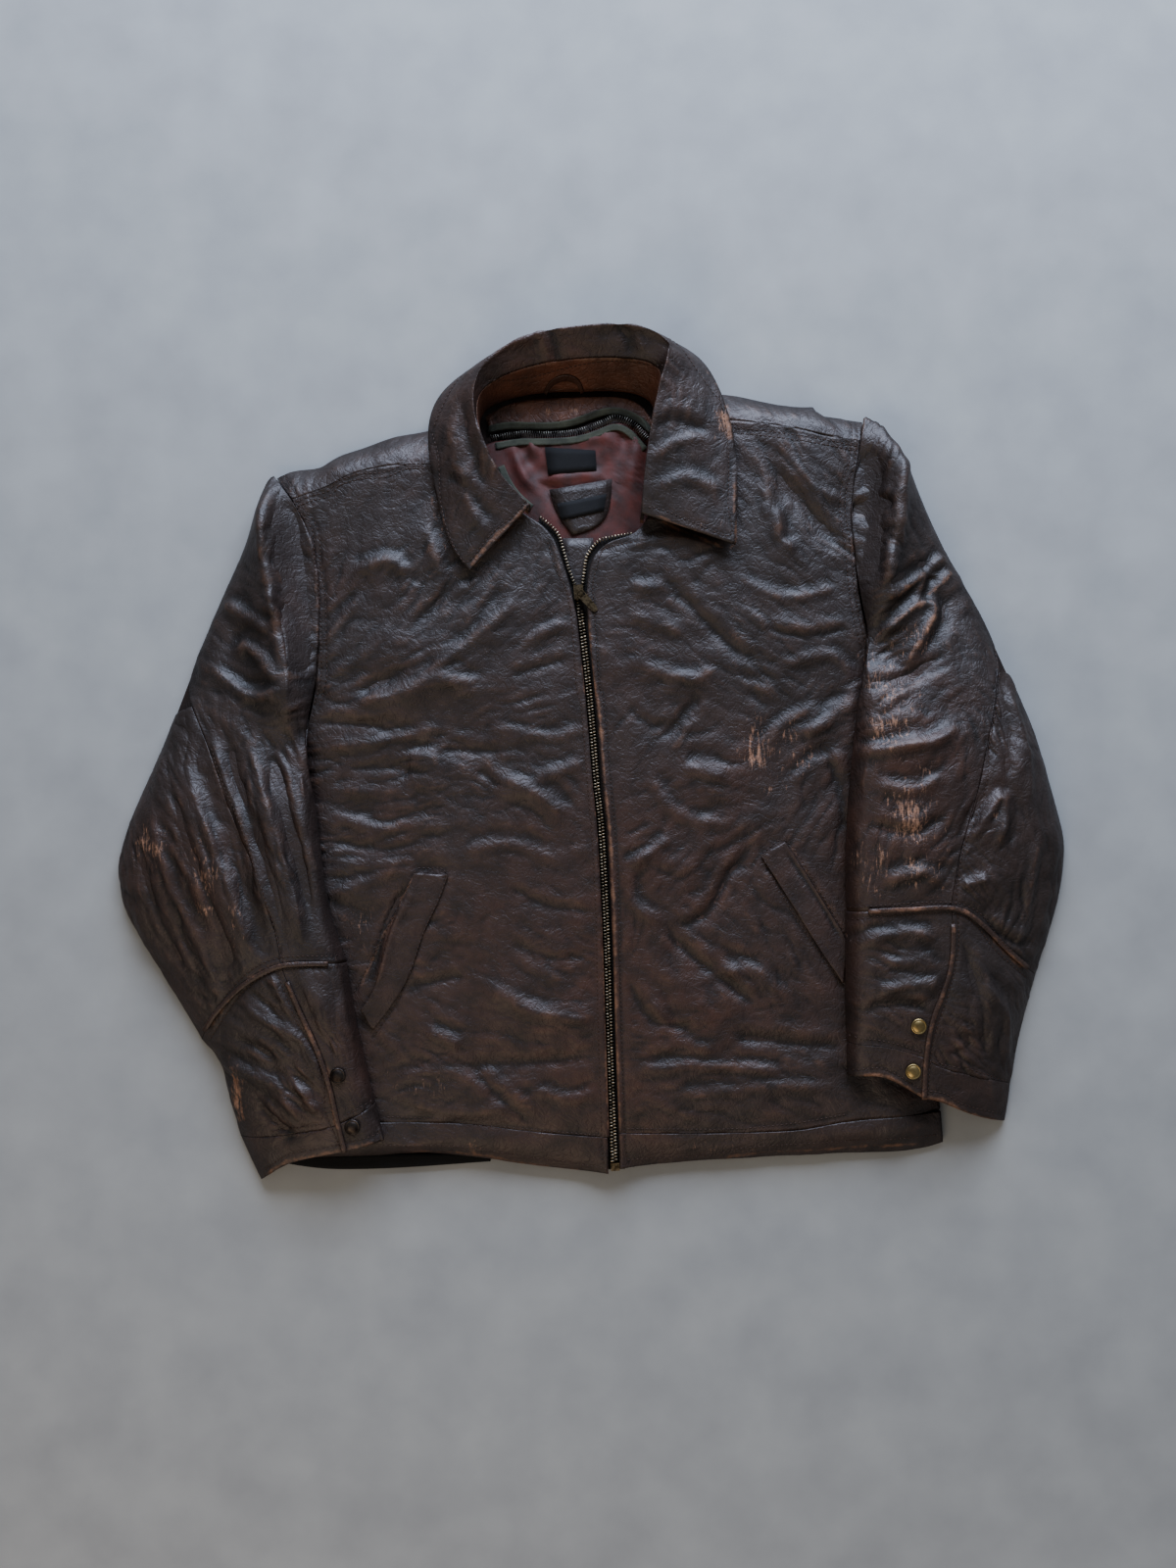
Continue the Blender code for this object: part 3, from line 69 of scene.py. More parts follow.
def smooth_line(points, step=2.0):
    """A smooth line through the points, in steps of about that many millimetres."""
    p = np.array(points, float)
    if len(p) > 2:
        q = np.vstack([2 * p[0] - p[1], p, 2 * p[-1] - p[-2]])
        t = np.linspace(0, 1, 12, endpoint=False)[:, None]
        parts = []
        for a, b, c, d in zip(q, q[1:], q[2:], q[3:]):
            parts.append(0.5 * (2 * b + (c - a) * t + (2 * a - 5 * b + 4 * c - d) * t ** 2
                                + (3 * b - a - 3 * c + d) * t ** 3))
        p = np.vstack(parts + [p[-1:]])
    s = np.concatenate([[0], np.cumsum(np.linalg.norm(np.diff(p, axis=0), axis=1))])
    at = np.linspace(0, s[-1], max(2, int(round(s[-1] / step)) + 1))
    return np.column_stack([np.interp(at, s, p[:, k]) for k in range(p.shape[1])])


def beside(line, distance):
    """The line moved sideways; a positive distance is to its left."""
    way = np.gradient(line, axis=0)
    way /= np.linalg.norm(way, axis=1)[:, None]
    return line + distance * np.column_stack([-way[:, 1], way[:, 0]])


def from_line(xy, line):
    """Signed distance of each point from a line, and the place along it from 0 to 1."""
    best = np.full(len(xy), 1e9)
    signed = np.zeros(len(xy))
    place = np.zeros(len(xy))
    low, high = line.min(axis=0) - 40, line.max(axis=0) + 40
    near = ((xy > low) & (xy < high)).all(axis=1)
    p = xy[near]
    b, s, q = best[near], signed[near], place[near]
    for k in range(len(line) - 1):
        a, d = line[k], line[k + 1] - line[k]
        t = np.clip((p - a) @ d / (d @ d), 0, 1)
        off = p - a - t[:, None] * d
        gap = np.linalg.norm(off, axis=1)
        closer = gap < b
        b[closer] = gap[closer]
        s[closer] = (gap * np.sign(d[0] * off[:, 1] - d[1] * off[:, 0]))[closer]
        q[closer] = ((k + t) / (len(line) - 1))[closer]
    best[near], signed[near], place[near] = b, s, q
    return best, signed, place


# Noise on a plane

def plane_noise(u, v, seed):
    """Smooth noise from about -1 to 1, one cell to a unit."""
    turn = np.random.default_rng(seed).random((64, 64)) * 2 * math.pi
    gx, gy = np.cos(turn), np.sin(turn)
    iu, iv = np.floor(u).astype(int), np.floor(v).astype(int)
    fu, fv = u - iu, v - iv
    corner = []
    for a in (0, 1):
        for b in (0, 1):
            i, j = (iu + a) % 64, (iv + b) % 64
            corner.append(gx[i, j] * (fu - a) + gy[i, j] * (fv - b))
    su, sv = fu * fu * (3 - 2 * fu), fv * fv * (3 - 2 * fv)
    low = corner[0] + (corner[1] - corner[0]) * sv
    high = corner[2] + (corner[3] - corner[2]) * sv
    return 1.5 * (low + (high - low) * su)


# How the small wrinkles run: (across, down, angle in degrees from the picture's right, strength).
RUNS = {
    "right_front": [
        (350, 720, 5, 1.0), (370, 640, 40, 0.9), (350, 560, 80, 0.7), (430, 600, 52, 1.0),
        (500, 570, 45, 0.8), (520, 650, 35, 0.8), (450, 690, 15, 1.0), (520, 720, 10, 0.8),
        (430, 770, 0, 1.1), (520, 800, -15, 1.0), (580, 800, -30, 0.7), (360, 850, 0, 1.1),
        (420, 880, -5, 0.7), (540, 880, -20, 0.6), (350, 930, 5, 0.9), (460, 960, 20, 0.6),
        (560, 960, -30, 0.6), (500, 1020, -20, 0.9), (580, 1040, -5, 0.7), (440, 1060, -25, 0.8),
        (520, 1100, 10, 0.8), (420, 1120, 10, 0.8), (590, 1120, 40, 0.5), (500, 1170, 0, 0.3)],
    "left_front": [
        (640, 570, 10, 0.6), (700, 570, 5, 0.9), (760, 520, -50, 0.9), (820, 500, -60, 1.0),
        (850, 560, -45, 0.9), (800, 600, -35, 0.8), (700, 620, -15, 0.9), (720, 660, -40, 0.9),
        (660, 690, -10, 0.8), (780, 690, -30, 0.7), (640, 760, 60, 0.4), (700, 760, 30, 0.7),
        (750, 790, 0, 0.6), (830, 740, 35, 1.0), (850, 800, 60, 0.8), (680, 870, 35, 0.9),
        (740, 870, 45, 1.0), (780, 930, -40, 0.8), (700, 970, -40, 1.0), (740, 1000, -40, 0.9),
        (650, 960, 70, 0.5), (830, 1000, -60, 0.7), (700, 1060, -5, 0.8), (800, 1060, -5, 0.9),
        (760, 1110, 0, 0.9), (680, 1120, 5, 0.8), (830, 1120, -10, 0.8)],
    "right_sleeve": [
        (300, 560, -80, 0.8), (260, 520, 60, 0.5), (240, 600, -25, 0.8), (270, 640, -30, 0.9),
        (220, 680, -35, 0.9), (270, 700, 15, 0.8), (200, 760, -60, 0.9), (250, 780, -70, 1.1),
        (290, 800, -75, 1.1), (320, 860, -80, 1.0), (170, 830, -55, 0.9), (220, 870, -68, 1.2),
        (270, 880, -72, 1.2), (140, 880, -75, 0.8), (180, 950, -60, 1.0), (240, 960, -68, 1.1),
        (300, 950, -80, 0.8), (240, 1040, -35, 1.0), (290, 1050, -50, 1.0), (330, 1050, -75, 0.8),
        (250, 1100, -30, 1.0), (300, 1120, -45, 1.0), (350, 1100, -70, 0.6), (280, 1170, 15, 0.5)],
    "left_sleeve": [
        (900, 480, 60, 0.8), (940, 520, -70, 0.6), (900, 560, 0, 0.8), (930, 600, 35, 1.1),
        (920, 650, 25, 1.1), (970, 620, 45, 0.9), (990, 660, -60, 0.8), (900, 720, 15, 1.0),
        (950, 700, 30, 1.0), (910, 790, 70, 0.7), (960, 800, 60, 0.9), (1030, 740, -60, 0.9),
        (1050, 830, -80, 0.9), (1010, 830, 50, 1.1), (900, 870, 80, 0.8), (950, 880, 30, 0.8),
        (1040, 920, 75, 1.0), (1000, 900, -40, 0.9), (900, 970, 5, 1.0), (940, 1000, 5, 0.9),
        (920, 1050, -15, 0.8), (1000, 1000, -50, 1.0), (1030, 1050, -75, 0.9), (990, 1080, -45, 0.9),
        (900, 1090, -15, 0.5)],
    "collar": [
        (470, 430, 75, 0.6), (460, 500, 70, 0.7), (480, 560, 50, 0.5), (500, 370, 30, 0.5),
        (550, 345, 10, 0.4), (620, 340, 0, 0.4), (690, 360, -30, 0.5), (700, 420, 85, 0.7),
        (720, 480, -80, 0.7), (690, 520, -20, 0.6)],
    "liner": [
        (540, 500, 60, 0.9), (580, 500, 0, 0.5), (640, 480, 75, 1.0), (560, 440, -80, 0.6),
        (600, 560, 20, 0.5)],
}
TURNS = 12  # directions that the wrinkles are made of


def wrinkles(xy, runs, z, long, across, seed):
    """Fine wrinkles that follow the runs: rounded ridges with sharp valleys between them."""
    table = np.array(runs, float)
    places = laid(table[:, :2], z)
    share = np.zeros((len(table), TURNS))
    for row, angle in enumerate(table[:, 2]):
        at = (angle % 180) / 180 * TURNS
        share[row, int(at) % TURNS] = 1 - at % 1
        share[row, (int(at) + 1) % TURNS] += at % 1
    share *= table[:, 3:4]
    near = 1 / (((xy[:, None] - places[None]) ** 2).sum(axis=2) + 18 ** 2) ** 2
    weight = near @ share / near.sum(axis=1)[:, None]
    total = np.zeros(len(xy))
    bend = across * 0.7 * plane_noise(xy[:, 0] / 37 + 9, xy[:, 1] / 37 + 5, seed + 90)
    for k in range(TURNS):
        a = math.pi * k / TURNS
        u = (xy[:, 0] * math.cos(a) + xy[:, 1] * math.sin(a)) / long + 20 + 3 * k
        v = (-xy[:, 0] * math.sin(a) + xy[:, 1] * math.cos(a) + bend) / across + 20
        n = plane_noise(u, v, seed + k)
        total += weight[:, k] * (1.9 * np.abs(n) ** 0.85 - 0.55)
    return total


ZIP_COURSE = [(577, 556), (584, 588), (589, 598), (595, 630), (600, 699), (605, 722), (613, 819), (616, 852),
              (620, 937), (622, 1034), (625, 1131), (626, 1168), (630, 1195)]

# Flat places: points, height, half width, how far the flatness fades, and what is left of the folds.
CALM = [
    (ZIP_COURSE, 22, 8, 14, 0.15),
    ([(590, 603), (600, 614), (610, 626)], 24, 7, 8, 0.0),
    ([(202, 1062), (243, 1009), (284, 983), (350, 981)], 42, 2.5, 9, 0.1),
    ([(868, 933), (899, 929), (968, 926), (998, 938), (1021, 966), (1059, 997)], 42, 2.5, 9, 0.1),
    ([(289, 988), (309, 1039), (335, 1090), (337, 1131), (353, 1175)], 41, 2.5, 8, 0.1),
    ([(970, 928), (971, 969), (962, 1010), (950, 1048), (945, 1073), (942, 1119)], 41, 2.5, 8, 0.1),
    ([(345, 1096), (345, 1098)], 42, 8, 8, 0.1), ([(358, 1148), (358, 1150)], 40, 8, 8, 0.1),
    ([(938, 1046), (938, 1048)], 45, 8, 8, 0.1), ([(932, 1093), (932, 1095)], 42, 8, 8, 0.1),
]

# Creases placed one by one: (height, half width, points). A negative height is a valley.
CREASES = {
    "right_front": [
        (2.2, 4.5, [(365, 715), (410, 707), (447, 692), (480, 703), (491, 713)]),
        (2.0, 4, [(435, 686), (469, 664), (510, 630), (527, 606)]),
        (1.8, 4, [(416, 771), (450, 776)]),
        (2.2, 4.5, [(510, 793), (554, 814), (576, 834)]),
        (1.8, 4, [(544, 797), (595, 778)]),
        (2.2, 4, [(360, 584), (396, 572), (416, 587)]),
        (1.8, 4, [(435, 536), (450, 589)]),
        (1.6, 4, [(339, 886), (411, 881)]),
        (1.6, 4, [(339, 913), (407, 888)]),
        (2.2, 5, [(494, 1005), (542, 1031), (608, 1041)]),
        (1.8, 4, [(436, 1053), (470, 1068)]),
        (-1.8, 3.5, [(365, 708), (416, 681)]),
        (-1.8, 3.5, [(450, 764), (510, 767)]),
        (-1.6, 3.5, [(324, 737), (401, 742)]),
        (-1.6, 3.5, [(353, 785), (425, 783)]),
        (-1.8, 3, [(488, 785), (508, 805)]),
        (-1.8, 3.5, [(423, 640), (481, 582)]),
        (-1.6, 3.5, [(414, 1010), (474, 995)]),
        (-1.8, 4, [(477, 1087), (542, 1085), (608, 1077)]),
        (-1.6, 3.5, [(482, 1094), (542, 1148)]),
        (1.5, 3.5, [(332, 762), (390, 757), (450, 742)]),
        (1.5, 3.5, [(335, 805), (390, 808), (440, 800)]),
        (1.5, 3.5, [(333, 690), (372, 668), (402, 634)]),
        (1.5, 3.5, [(330, 660), (352, 630), (372, 606)]),
        (1.4, 3.5, [(335, 835), (400, 846), (470, 842)]),
        (-1.4, 3, [(338, 862), (392, 866), (436, 858)]),
        (1.6, 4, [(462, 612), (480, 575), (508, 548)]),
        (-1.4, 3, [(480, 640), (512, 598)]),
        (-2.4, 2.6, [(414, 904), (392, 946), (384, 976), (376, 1004)]),
        (1.4, 3.5, [(530, 660), (566, 640), (590, 640)]),
        (-1.3, 3, [(520, 690), (580, 672)]),
        (1.4, 3.5, [(498, 742), (560, 752), (596, 745)]),
        (1.4, 4, [(470, 870), (520, 862), (572, 880)]),
        (-1.3, 3, [(520, 905), (560, 925), (606, 930)]),
        (1.4, 4, [(402, 1104), (450, 1092), (500, 1112)]),
        (1.3, 3.5, [(410, 1125), (470, 1136), (530, 1128)]),
        (1.4, 3.5, [(540, 1110), (580, 1122), (614, 1112)]),
        (-1.3, 3, [(520, 960), (560, 978), (600, 975)]),
    ],
    "left_front": [
        (-1.6, 2.5, [(800, 866), (836, 920), (860, 962)]),
        (2.0, 4.5, [(640, 555), (696, 550), (730, 562)]),
        (-2.4, 4, [(795, 480), (802, 495), (858, 555)]),
        (2.2, 4, [(793, 516), (795, 550), (814, 560)]),
        (1.6, 4, [(642, 599), (681, 596)]),
        (1.8, 4, [(642, 625), (696, 647)]),
        (-2.0, 4, [(681, 596), (744, 659), (761, 679)]),
        (1.8, 4, [(652, 681), (705, 693), (730, 681)]),
        (-1.8, 3.5, [(715, 708), (676, 759)]),
        (2.4, 4.5, [(819, 751), (875, 715)]),
        (1.6, 4, [(696, 783), (739, 793)]),
        (2.4, 3, [(641, 884), (685, 855)]),
        (2.0, 4, [(639, 886), (644, 920), (673, 942)]),
        (-2.2, 3.5, [(690, 949), (721, 932), (745, 893), (770, 859)]),
        (-2.2, 3.5, [(680, 949), (709, 978), (770, 1027)]),
        (-2.0, 4, [(741, 1058), (818, 1065), (864, 1068)]),
        (1.8, 3.5, [(650, 1092), (730, 1088), (800, 1096)]),
        (1.8, 3.5, [(690, 1120), (760, 1112), (850, 1108)]),
        (1.6, 4, [(764, 452), (780, 490), (784, 530)]),
        (1.5, 3.5, [(806, 470), (836, 500), (866, 512)]),
        (1.5, 3.5, [(752, 590), (800, 610), (856, 600)]),
        (-1.4, 3, [(770, 640), (820, 650), (870, 640)]),
        (1.5, 3.5, [(800, 680), (846, 668), (872, 690)]),
        (1.6, 4, [(780, 770), (800, 740), (842, 720)]),
        (-1.6, 3.5, [(838, 760), (856, 800), (862, 850)]),
        (1.5, 3.5, [(806, 800), (832, 780), (862, 770)]),
        (1.4, 4, [(660, 790), (690, 830), (740, 842)]),
        (-1.4, 3.5, [(640, 720), (664, 740), (700, 738)]),
        (1.6, 4, [(716, 1000), (760, 990), (806, 1020)]),
        (-1.4, 3, [(640, 1000), (664, 1040), (710, 1050)]),
        (1.4, 4, [(660, 1010), (690, 1060), (740, 1074)]),
    ],
    "right_sleeve": [
        (-3.4, 7, [(288, 505), (297, 560), (304, 620), (306, 690)]),
        (1.6, 4, [(273, 488), (266, 527), (268, 565), (279, 629), (289, 692)]),
        (2.0, 4, [(220, 611), (276, 644)]),
        (2.2, 4, [(238, 669), (250, 659), (284, 695)]),
        (2.2, 4, [(212, 682), (253, 710), (289, 705)]),
        (2.6, 5, [(210, 745), (232, 800), (262, 880), (284, 950)]),
        (-2.4, 4, [(226, 760), (252, 830), (276, 900), (292, 960)]),
        (2.4, 4.5, [(250, 752), (276, 830), (298, 905), (312, 965)]),
        (-2.2, 4, [(274, 770), (298, 850), (318, 930)]),
        (2.2, 4.5, [(186, 780), (214, 850), (244, 930), (262, 990)]),
        (-2.0, 4, [(170, 800), (200, 880), (226, 950), (240, 1000)]),
        (2.2, 4.5, [(150, 820), (172, 900), (206, 970), (220, 1020)]),
        (-2.0, 4, [(134, 860), (156, 930), (190, 1000)]),
        (2.0, 4, [(243, 1016), (266, 1037), (314, 1065), (330, 1100)]),
        (2.0, 4, [(279, 993), (309, 1050)]),
        (1.8, 3.5, [(279, 1073), (324, 1136)]),
        (2.0, 4, [(222, 1088), (279, 1108), (304, 1144)]),
        (-1.8, 3.5, [(236, 1060), (280, 1080), (310, 1110)]),
        (-1.6, 3.5, [(260, 1130), (300, 1165)]),
        (1.8, 4, [(300, 760), (318, 830), (330, 905)]),
    ],
    "left_sleeve": [
        (-2.8, 6, [(892, 450), (894, 520), (888, 590)]),
        (1.6, 4, [(917, 448), (927, 466), (922, 487), (919, 528), (909, 566), (901, 604)]),
        (2.4, 3.5, [(906, 612), (945, 586), (934, 617)]),
        (2.6, 3.5, [(891, 653), (937, 617), (957, 622), (924, 681)]),
        (2.0, 3.5, [(950, 584), (970, 563)]),
        (2.0, 3.5, [(950, 607), (978, 579)]),
        (2.2, 4, [(873, 770), (917, 762), (950, 757), (978, 742)]),
        (2.2, 4, [(990, 854), (1021, 813), (1019, 864)]),
        (1.8, 4, [(980, 902), (1006, 897)]),
        (2.0, 4, [(894, 1012), (924, 1004), (960, 1004)]),
        (-2.4, 4, [(873, 515), (914, 512)]),
        (-1.8, 3.5, [(880, 700), (930, 690), (966, 664)]),
        (1.8, 4, [(1030, 700), (1048, 760), (1050, 820)]),
        (-1.8, 4, [(1024, 690), (1030, 760), (1026, 800)]),
        (2.0, 4, [(1060, 850), (1050, 920), (1040, 980)]),
        (-1.8, 3.5, [(1000, 940), (1030, 960), (1056, 966)]),
        (1.8, 4, [(1002, 1000), (1030, 1040), (1034, 1090)]),
        (-1.6, 3.5, [(980, 960), (1000, 1020), (1008, 1080)]),
        (1.8, 4, [(884, 960), (920, 950), (955, 956)]),
        (-1.6, 3.5, [(880, 1030), (918, 1024), (948, 1030)]),
        (1.6, 4, [(890, 800), (930, 806), (962, 790)]),
        (-1.6, 3.5, [(884, 840), (930, 850), (965, 830)]),
        (1.6, 4, [(900, 900), (935, 890), (962, 900)]),
    ],
    "collar": [
        (1.4, 5, [(455, 420), (466, 470), (482, 520), (500, 548)]),
        (-1.2, 4, [(470, 400), (478, 450), (496, 500)]),
        (-1.2, 4, [(666, 440), (690, 430), (724, 440)]),
        (1.2, 4, [(668, 500), (700, 488), (736, 500)]),
        (1.2, 4, [(500, 366), (520, 352), (548, 348)]),
        (-1.0, 4, [(600, 345), (650, 343), (690, 362)]),
        (1.3, 3.5, [(546, 338), (556, 352), (560, 372)]),
        (-1.3, 3.5, [(626, 330), (640, 346), (644, 362)]),
        (1.3, 4, [(470, 386), (486, 372), (506, 366)]),
        (1.2, 3.5, [(664, 470), (690, 452), (722, 446)]),
        (-1.1, 3.5, [(452, 480), (476, 500), (500, 530)]),
    ],
    "liner": [
        (2.6, 6, [(526, 470), (545, 500), (572, 540)]),
        (-2.4, 5, [(540, 462), (552, 490), (566, 512)]),
        (2.4, 6, [(648, 440), (640, 480), (626, 530)]),
        (-2.4, 5, [(634, 436), (630, 470), (624, 500)]),
        (1.8, 5, [(560, 446), (600, 448), (626, 442)]),
        (2.4, 4, [(518, 452), (530, 480), (534, 508)]),
        (2.6, 4, [(536, 440), (544, 462), (549, 490)]),
        (-2.2, 3.5, [(516, 470), (534, 520), (556, 545)]),
        (2.4, 4, [(622, 440), (630, 470), (618, 505)]),
        (2.6, 4, [(652, 450), (646, 500), (640, 520)]),
        (2.2, 3.5, [(548, 492), (580, 488), (616, 486)]),
        (-2.0, 3.5, [(552, 496), (586, 494), (620, 492)]),
    ],
}

# Stitched lines: (height, points, offsets). The leather is pressed down along them.
STITCHED = {
    "right_front": [
        (24, [(279, 486), (291, 503), (303, 524), (316, 543), (318, 579), (322, 603), (324, 654), (324, 692),
              (317, 718)], (2.6, 7.6)),
        (25, [(300, 509), (316, 503), (334, 498), (341, 489), (366, 481), (392, 479), (412, 471),
              (434, 470)], (-2.6, -7)),
        (24, [(424, 888), (404, 930), (385, 966), (373, 990), (360, 1014)], (0,)),
        (24, [(425, 886), (455, 892), (431, 954), (421, 985), (407, 1019), (394, 1039), (380, 1059)], (0,)),
        (19, [(394, 1143), (455, 1145), (484, 1150), (613, 1162)], (3,)),
        (23, [(570, 549), (576, 570), (584, 588), (589, 598), (595, 630), (600, 699), (605, 722), (613, 819),
              (616, 852), (620, 937), (622, 1034), (625, 1131), (626, 1168), (628, 1188)], (-10.5,)),
    ],
    "left_front": [
        (24, [(879, 428), (878, 448), (874, 479), (868, 493), (866, 521), (871, 554), (878, 617),
              (888, 660)], (-2.6, -7.6)),
        (25, [(747, 433), (791, 438), (833, 444), (876, 452)], (-2.6, -7)),
        (24, [(778, 871), (804, 859), (842, 918), (867, 961)], (0,)),
        (24, [(778, 874), (801, 918), (825, 956), (860, 1006)], (0,)),
        (19, [(639, 1155), (745, 1155), (818, 1148), (864, 1140)], (3,)),
        (23, [(649, 541), (617, 547), (604, 557), (596, 581), (593, 598), (595, 630), (600, 699),
              (605, 722), (613, 819), (616, 852), (620, 937), (622, 1034), (625, 1131), (626, 1168),
              (630, 1190)], (10.5,)),
    ],
    "right_sleeve": [
        (44, [(210, 764), (222, 797), (243, 843), (253, 871), (273, 930), (286, 983)], (3,)),
        (42, [(202, 1062), (243, 1009), (284, 983), (350, 981)], (5,)),
        (42, [(202, 1062), (243, 1009), (284, 983), (350, 981)], (-5,)),
        (41, [(289, 988), (309, 1039), (335, 1090), (337, 1131), (353, 1175)], (-5,)),
        (37, [(275, 1160), (330, 1150)], (3,)),
        (37, [(355, 1140), (385, 1125)], (3,)),
        (30, [(266, 1198), (291, 1180), (320, 1172), (352, 1165), (388, 1156)], (0,)),
    ],
    "left_sleeve": [
        (44, [(1022, 658), (1019, 706), (1008, 757), (1003, 800), (993, 831), (978, 869), (971, 923)], (3,)),
        (42, [(868, 933), (899, 929), (968, 926), (998, 938), (1021, 966), (1059, 997)], (5,)),
        (42, [(868, 933), (899, 929), (968, 926), (998, 938), (1021, 966), (1059, 997)], (-5,)),
        (41, [(970, 928), (971, 969), (962, 1010), (950, 1048), (945, 1073), (942, 1119)], (5,)),
        (37, [(866, 1061), (906, 1066), (939, 1076)], (3,)),
        (37, [(950, 1076), (960, 1089), (993, 1096), (1034, 1112)], (3,)),
        (30, [(868, 1091), (901, 1089), (937, 1109), (962, 1114), (983, 1127), (1028, 1141)], (0,)),
    ],
    "collar": [
        (30, [(441, 442), (448, 468), (450, 512), (457, 542), (468, 566), (478, 574), (503, 545), (522, 530),
              (538, 512)], (0,)),
        (30, [(443, 436), (459, 401), (472, 384), (497, 366), (514, 355), (550, 341), (590, 339), (624, 332),
              (654, 335), (678, 345), (691, 354), (714, 385), (727, 402), (735, 412), (741, 445), (743, 480),
              (742, 517), (744, 548), (703, 534), (676, 523), (660, 520)], (0,)),
        (48, [(497, 388), (543, 378), (591, 368), (637, 365), (678, 373)], (0,)),
    ],
    "hem": [
        (14, [(392, 1167), (474, 1169), (542, 1181), (620, 1192)], (0,)),
        (14, [(639, 1183), (721, 1179), (755, 1171), (818, 1166), (957, 1159)], (0,)),
    ],
}

# Rubbed and faded places: (height, half width, strength, points).
WORN = [
    (30, 2.0, 0.45, [(434, 440), (434, 466), (441, 512), (448, 542), (461, 570), (477, 582)]),
    (30, 2.4, 0.75, [(477, 582), (502, 553), (520, 537), (539, 517)]),
    (34, 2.0, 0.7, [(656, 527), (675, 530), (701, 542), (744, 558), (751, 547), (749, 517), (751, 479)]),
    (30, 1.8, 0.4, [(751, 479), (748, 443), (742, 410), (721, 379), (696, 348), (655, 328), (589, 332),
                    (548, 334), (494, 359), (451, 397), (438, 428)]),
    (34, 4, 0.9, [(737, 420), (741, 432), (745, 450)]),
    (14, 2.4, 0.55, [(392, 1174), (474, 1177), (542, 1189), (622, 1201)]),
    (14, 2.4, 0.55, [(639, 1191), (721, 1187), (755, 1179), (818, 1174), (959, 1167)]),
    (30, 2.6, 0.6, [(263, 1207), (291, 1187), (320, 1180), (350, 1172), (390, 1163)]),
    (30, 2.8, 0.75, [(1029, 1149), (983, 1135), (962, 1122), (937, 1117), (901, 1096), (866, 1099)]),
    (42, 3, 0.4, [(202, 1062), (243, 1009), (284, 983), (350, 981)]),
    (42, 3, 0.5, [(868, 933), (899, 929), (968, 926), (998, 938), (1021, 966), (1059, 997)]),
    (41, 3, 0.4, [(289, 988), (309, 1039), (335, 1090), (337, 1131), (353, 1175)]),
    (41, 3, 0.35, [(970, 928), (971, 969), (962, 1010), (950, 1048), (945, 1073), (942, 1119)]),
    (23, 2.4, 0.75, [(585, 600), (590, 630), (595, 699), (600, 722), (607, 819), (610, 852), (614, 937),
                     (616, 1034), (619, 1131), (622, 1190)]),
    (23, 2.4, 0.75, [(596, 604), (600, 630), (606, 699), (611, 722), (619, 819), (622, 852), (626, 937),
                     (628, 1034), (631, 1131), (636, 1186)]),
    (44, 3, 0.7, [(906, 612), (945, 586)]),
    (44, 3, 0.7, [(891, 653), (937, 617), (957, 622), (924, 681)]),
    (44, 3, 0.6, [(950, 607), (978, 579)]),
    (20, 1.6, 0.9, [(480, 1165), (483, 1180)]),
    (34, 2.0, 0.8, [(232, 1096), (240, 1118), (246, 1150)]),
    (34, 2.0, 0.7, [(238, 1104), (236, 1130)]),
    (24, 5, 0.35, [(345, 930), (362, 950), (372, 975)]),
    (24, 2.2, 0.5, [(424, 888), (404, 930), (385, 966), (365, 1014)]),
    (24, 2.0, 0.45, [(804, 859), (842, 918), (867, 961)]),
    (24, 1.8, 0.3, [(279, 486), (303, 524), (316, 543), (322, 603), (324, 692), (317, 718)]),
    (24, 1.8, 0.3, [(879, 428), (868, 493), (866, 521), (878, 617), (888, 660)]),
]


# Where the leather is redder: (across, down, reach, strength). Away from these places the leather keeps the
# cool brown, which on the upper body is painted bluish sheen.
WARM = [
    (600, 1000, 260, 0.9), (430, 900, 110, 0.5), (560, 370, 90, 0.9), (660, 400, 40, 0.5),
    (200, 900, 90, 0.5), (480, 420, 50, 0.5), (920, 800, 120, 0.7), (300, 1130, 70, 0.5),
    (960, 1080, 70, 0.4), (420, 450, 60, 0.3)]


def warm_amount(xy):
    """How red the leather is at each point, from 0 to 1."""
    total = np.zeros(len(xy))
    for across, down, reach, strength in WARM:
        gap = np.linalg.norm(xy - laid([(across, down)], 25), axis=1) / PIXEL
        total = np.maximum(total, strength * np.exp(-(gap / reach) ** 2))
    return total


# Patches of fine scratches: (across, down, reach across, reach down, strength).
SCUFFED = [
    (905, 720, 26, 70, 0.9), (925, 840, 26, 60, 1.0), (890, 880, 22, 40, 0.8), (950, 870, 12, 40, 0.8),
    (935, 650, 24, 26, 0.6), (155, 862, 20, 22, 0.9), (212, 905, 14, 50, 0.9), (244, 930, 12, 40, 0.6),
    (770, 765, 26, 30, 1.0), (812, 765, 20, 26, 0.9), (795, 800, 22, 16, 0.5), (238, 1120, 9, 34, 1.0),
    (232, 1165, 8, 20, 0.6), (415, 1110, 40, 24, 0.4), (355, 950, 26, 30, 0.4), (740, 1175, 50, 12, 0.4),
    (738, 430, 9, 18, 1.0), (580, 412, 26, 8, 0.9), (455, 540, 16, 26, 0.4), (700, 540, 40, 10, 0.4),
    (1010, 840, 16, 30, 0.4), (300, 1000, 20, 14, 0.4), (482, 1172, 8, 9, 0.8),
]


def scuffed_amount(xy):
    """How scratched the leather is at each point, from 0 to 1."""
    total = np.zeros(len(xy))
    for across, down, wide, tall, strength in SCUFFED:
        gap = (xy - laid([(across, down)], 35)) / PIXEL
        total = np.maximum(total, strength * np.exp(-(gap[:, 0] / wide) ** 2 - (gap[:, 1] / tall) ** 2))
    return total


# Shells on the solids' forms

def clear_selection():
    """Leave edit mode and select nothing, before an operator is used."""
    if bpy.context.object is not None and bpy.context.object.mode != "OBJECT":
        bpy.ops.object.mode_set(mode="OBJECT")
    bpy.ops.object.select_all(action="DESELECT")


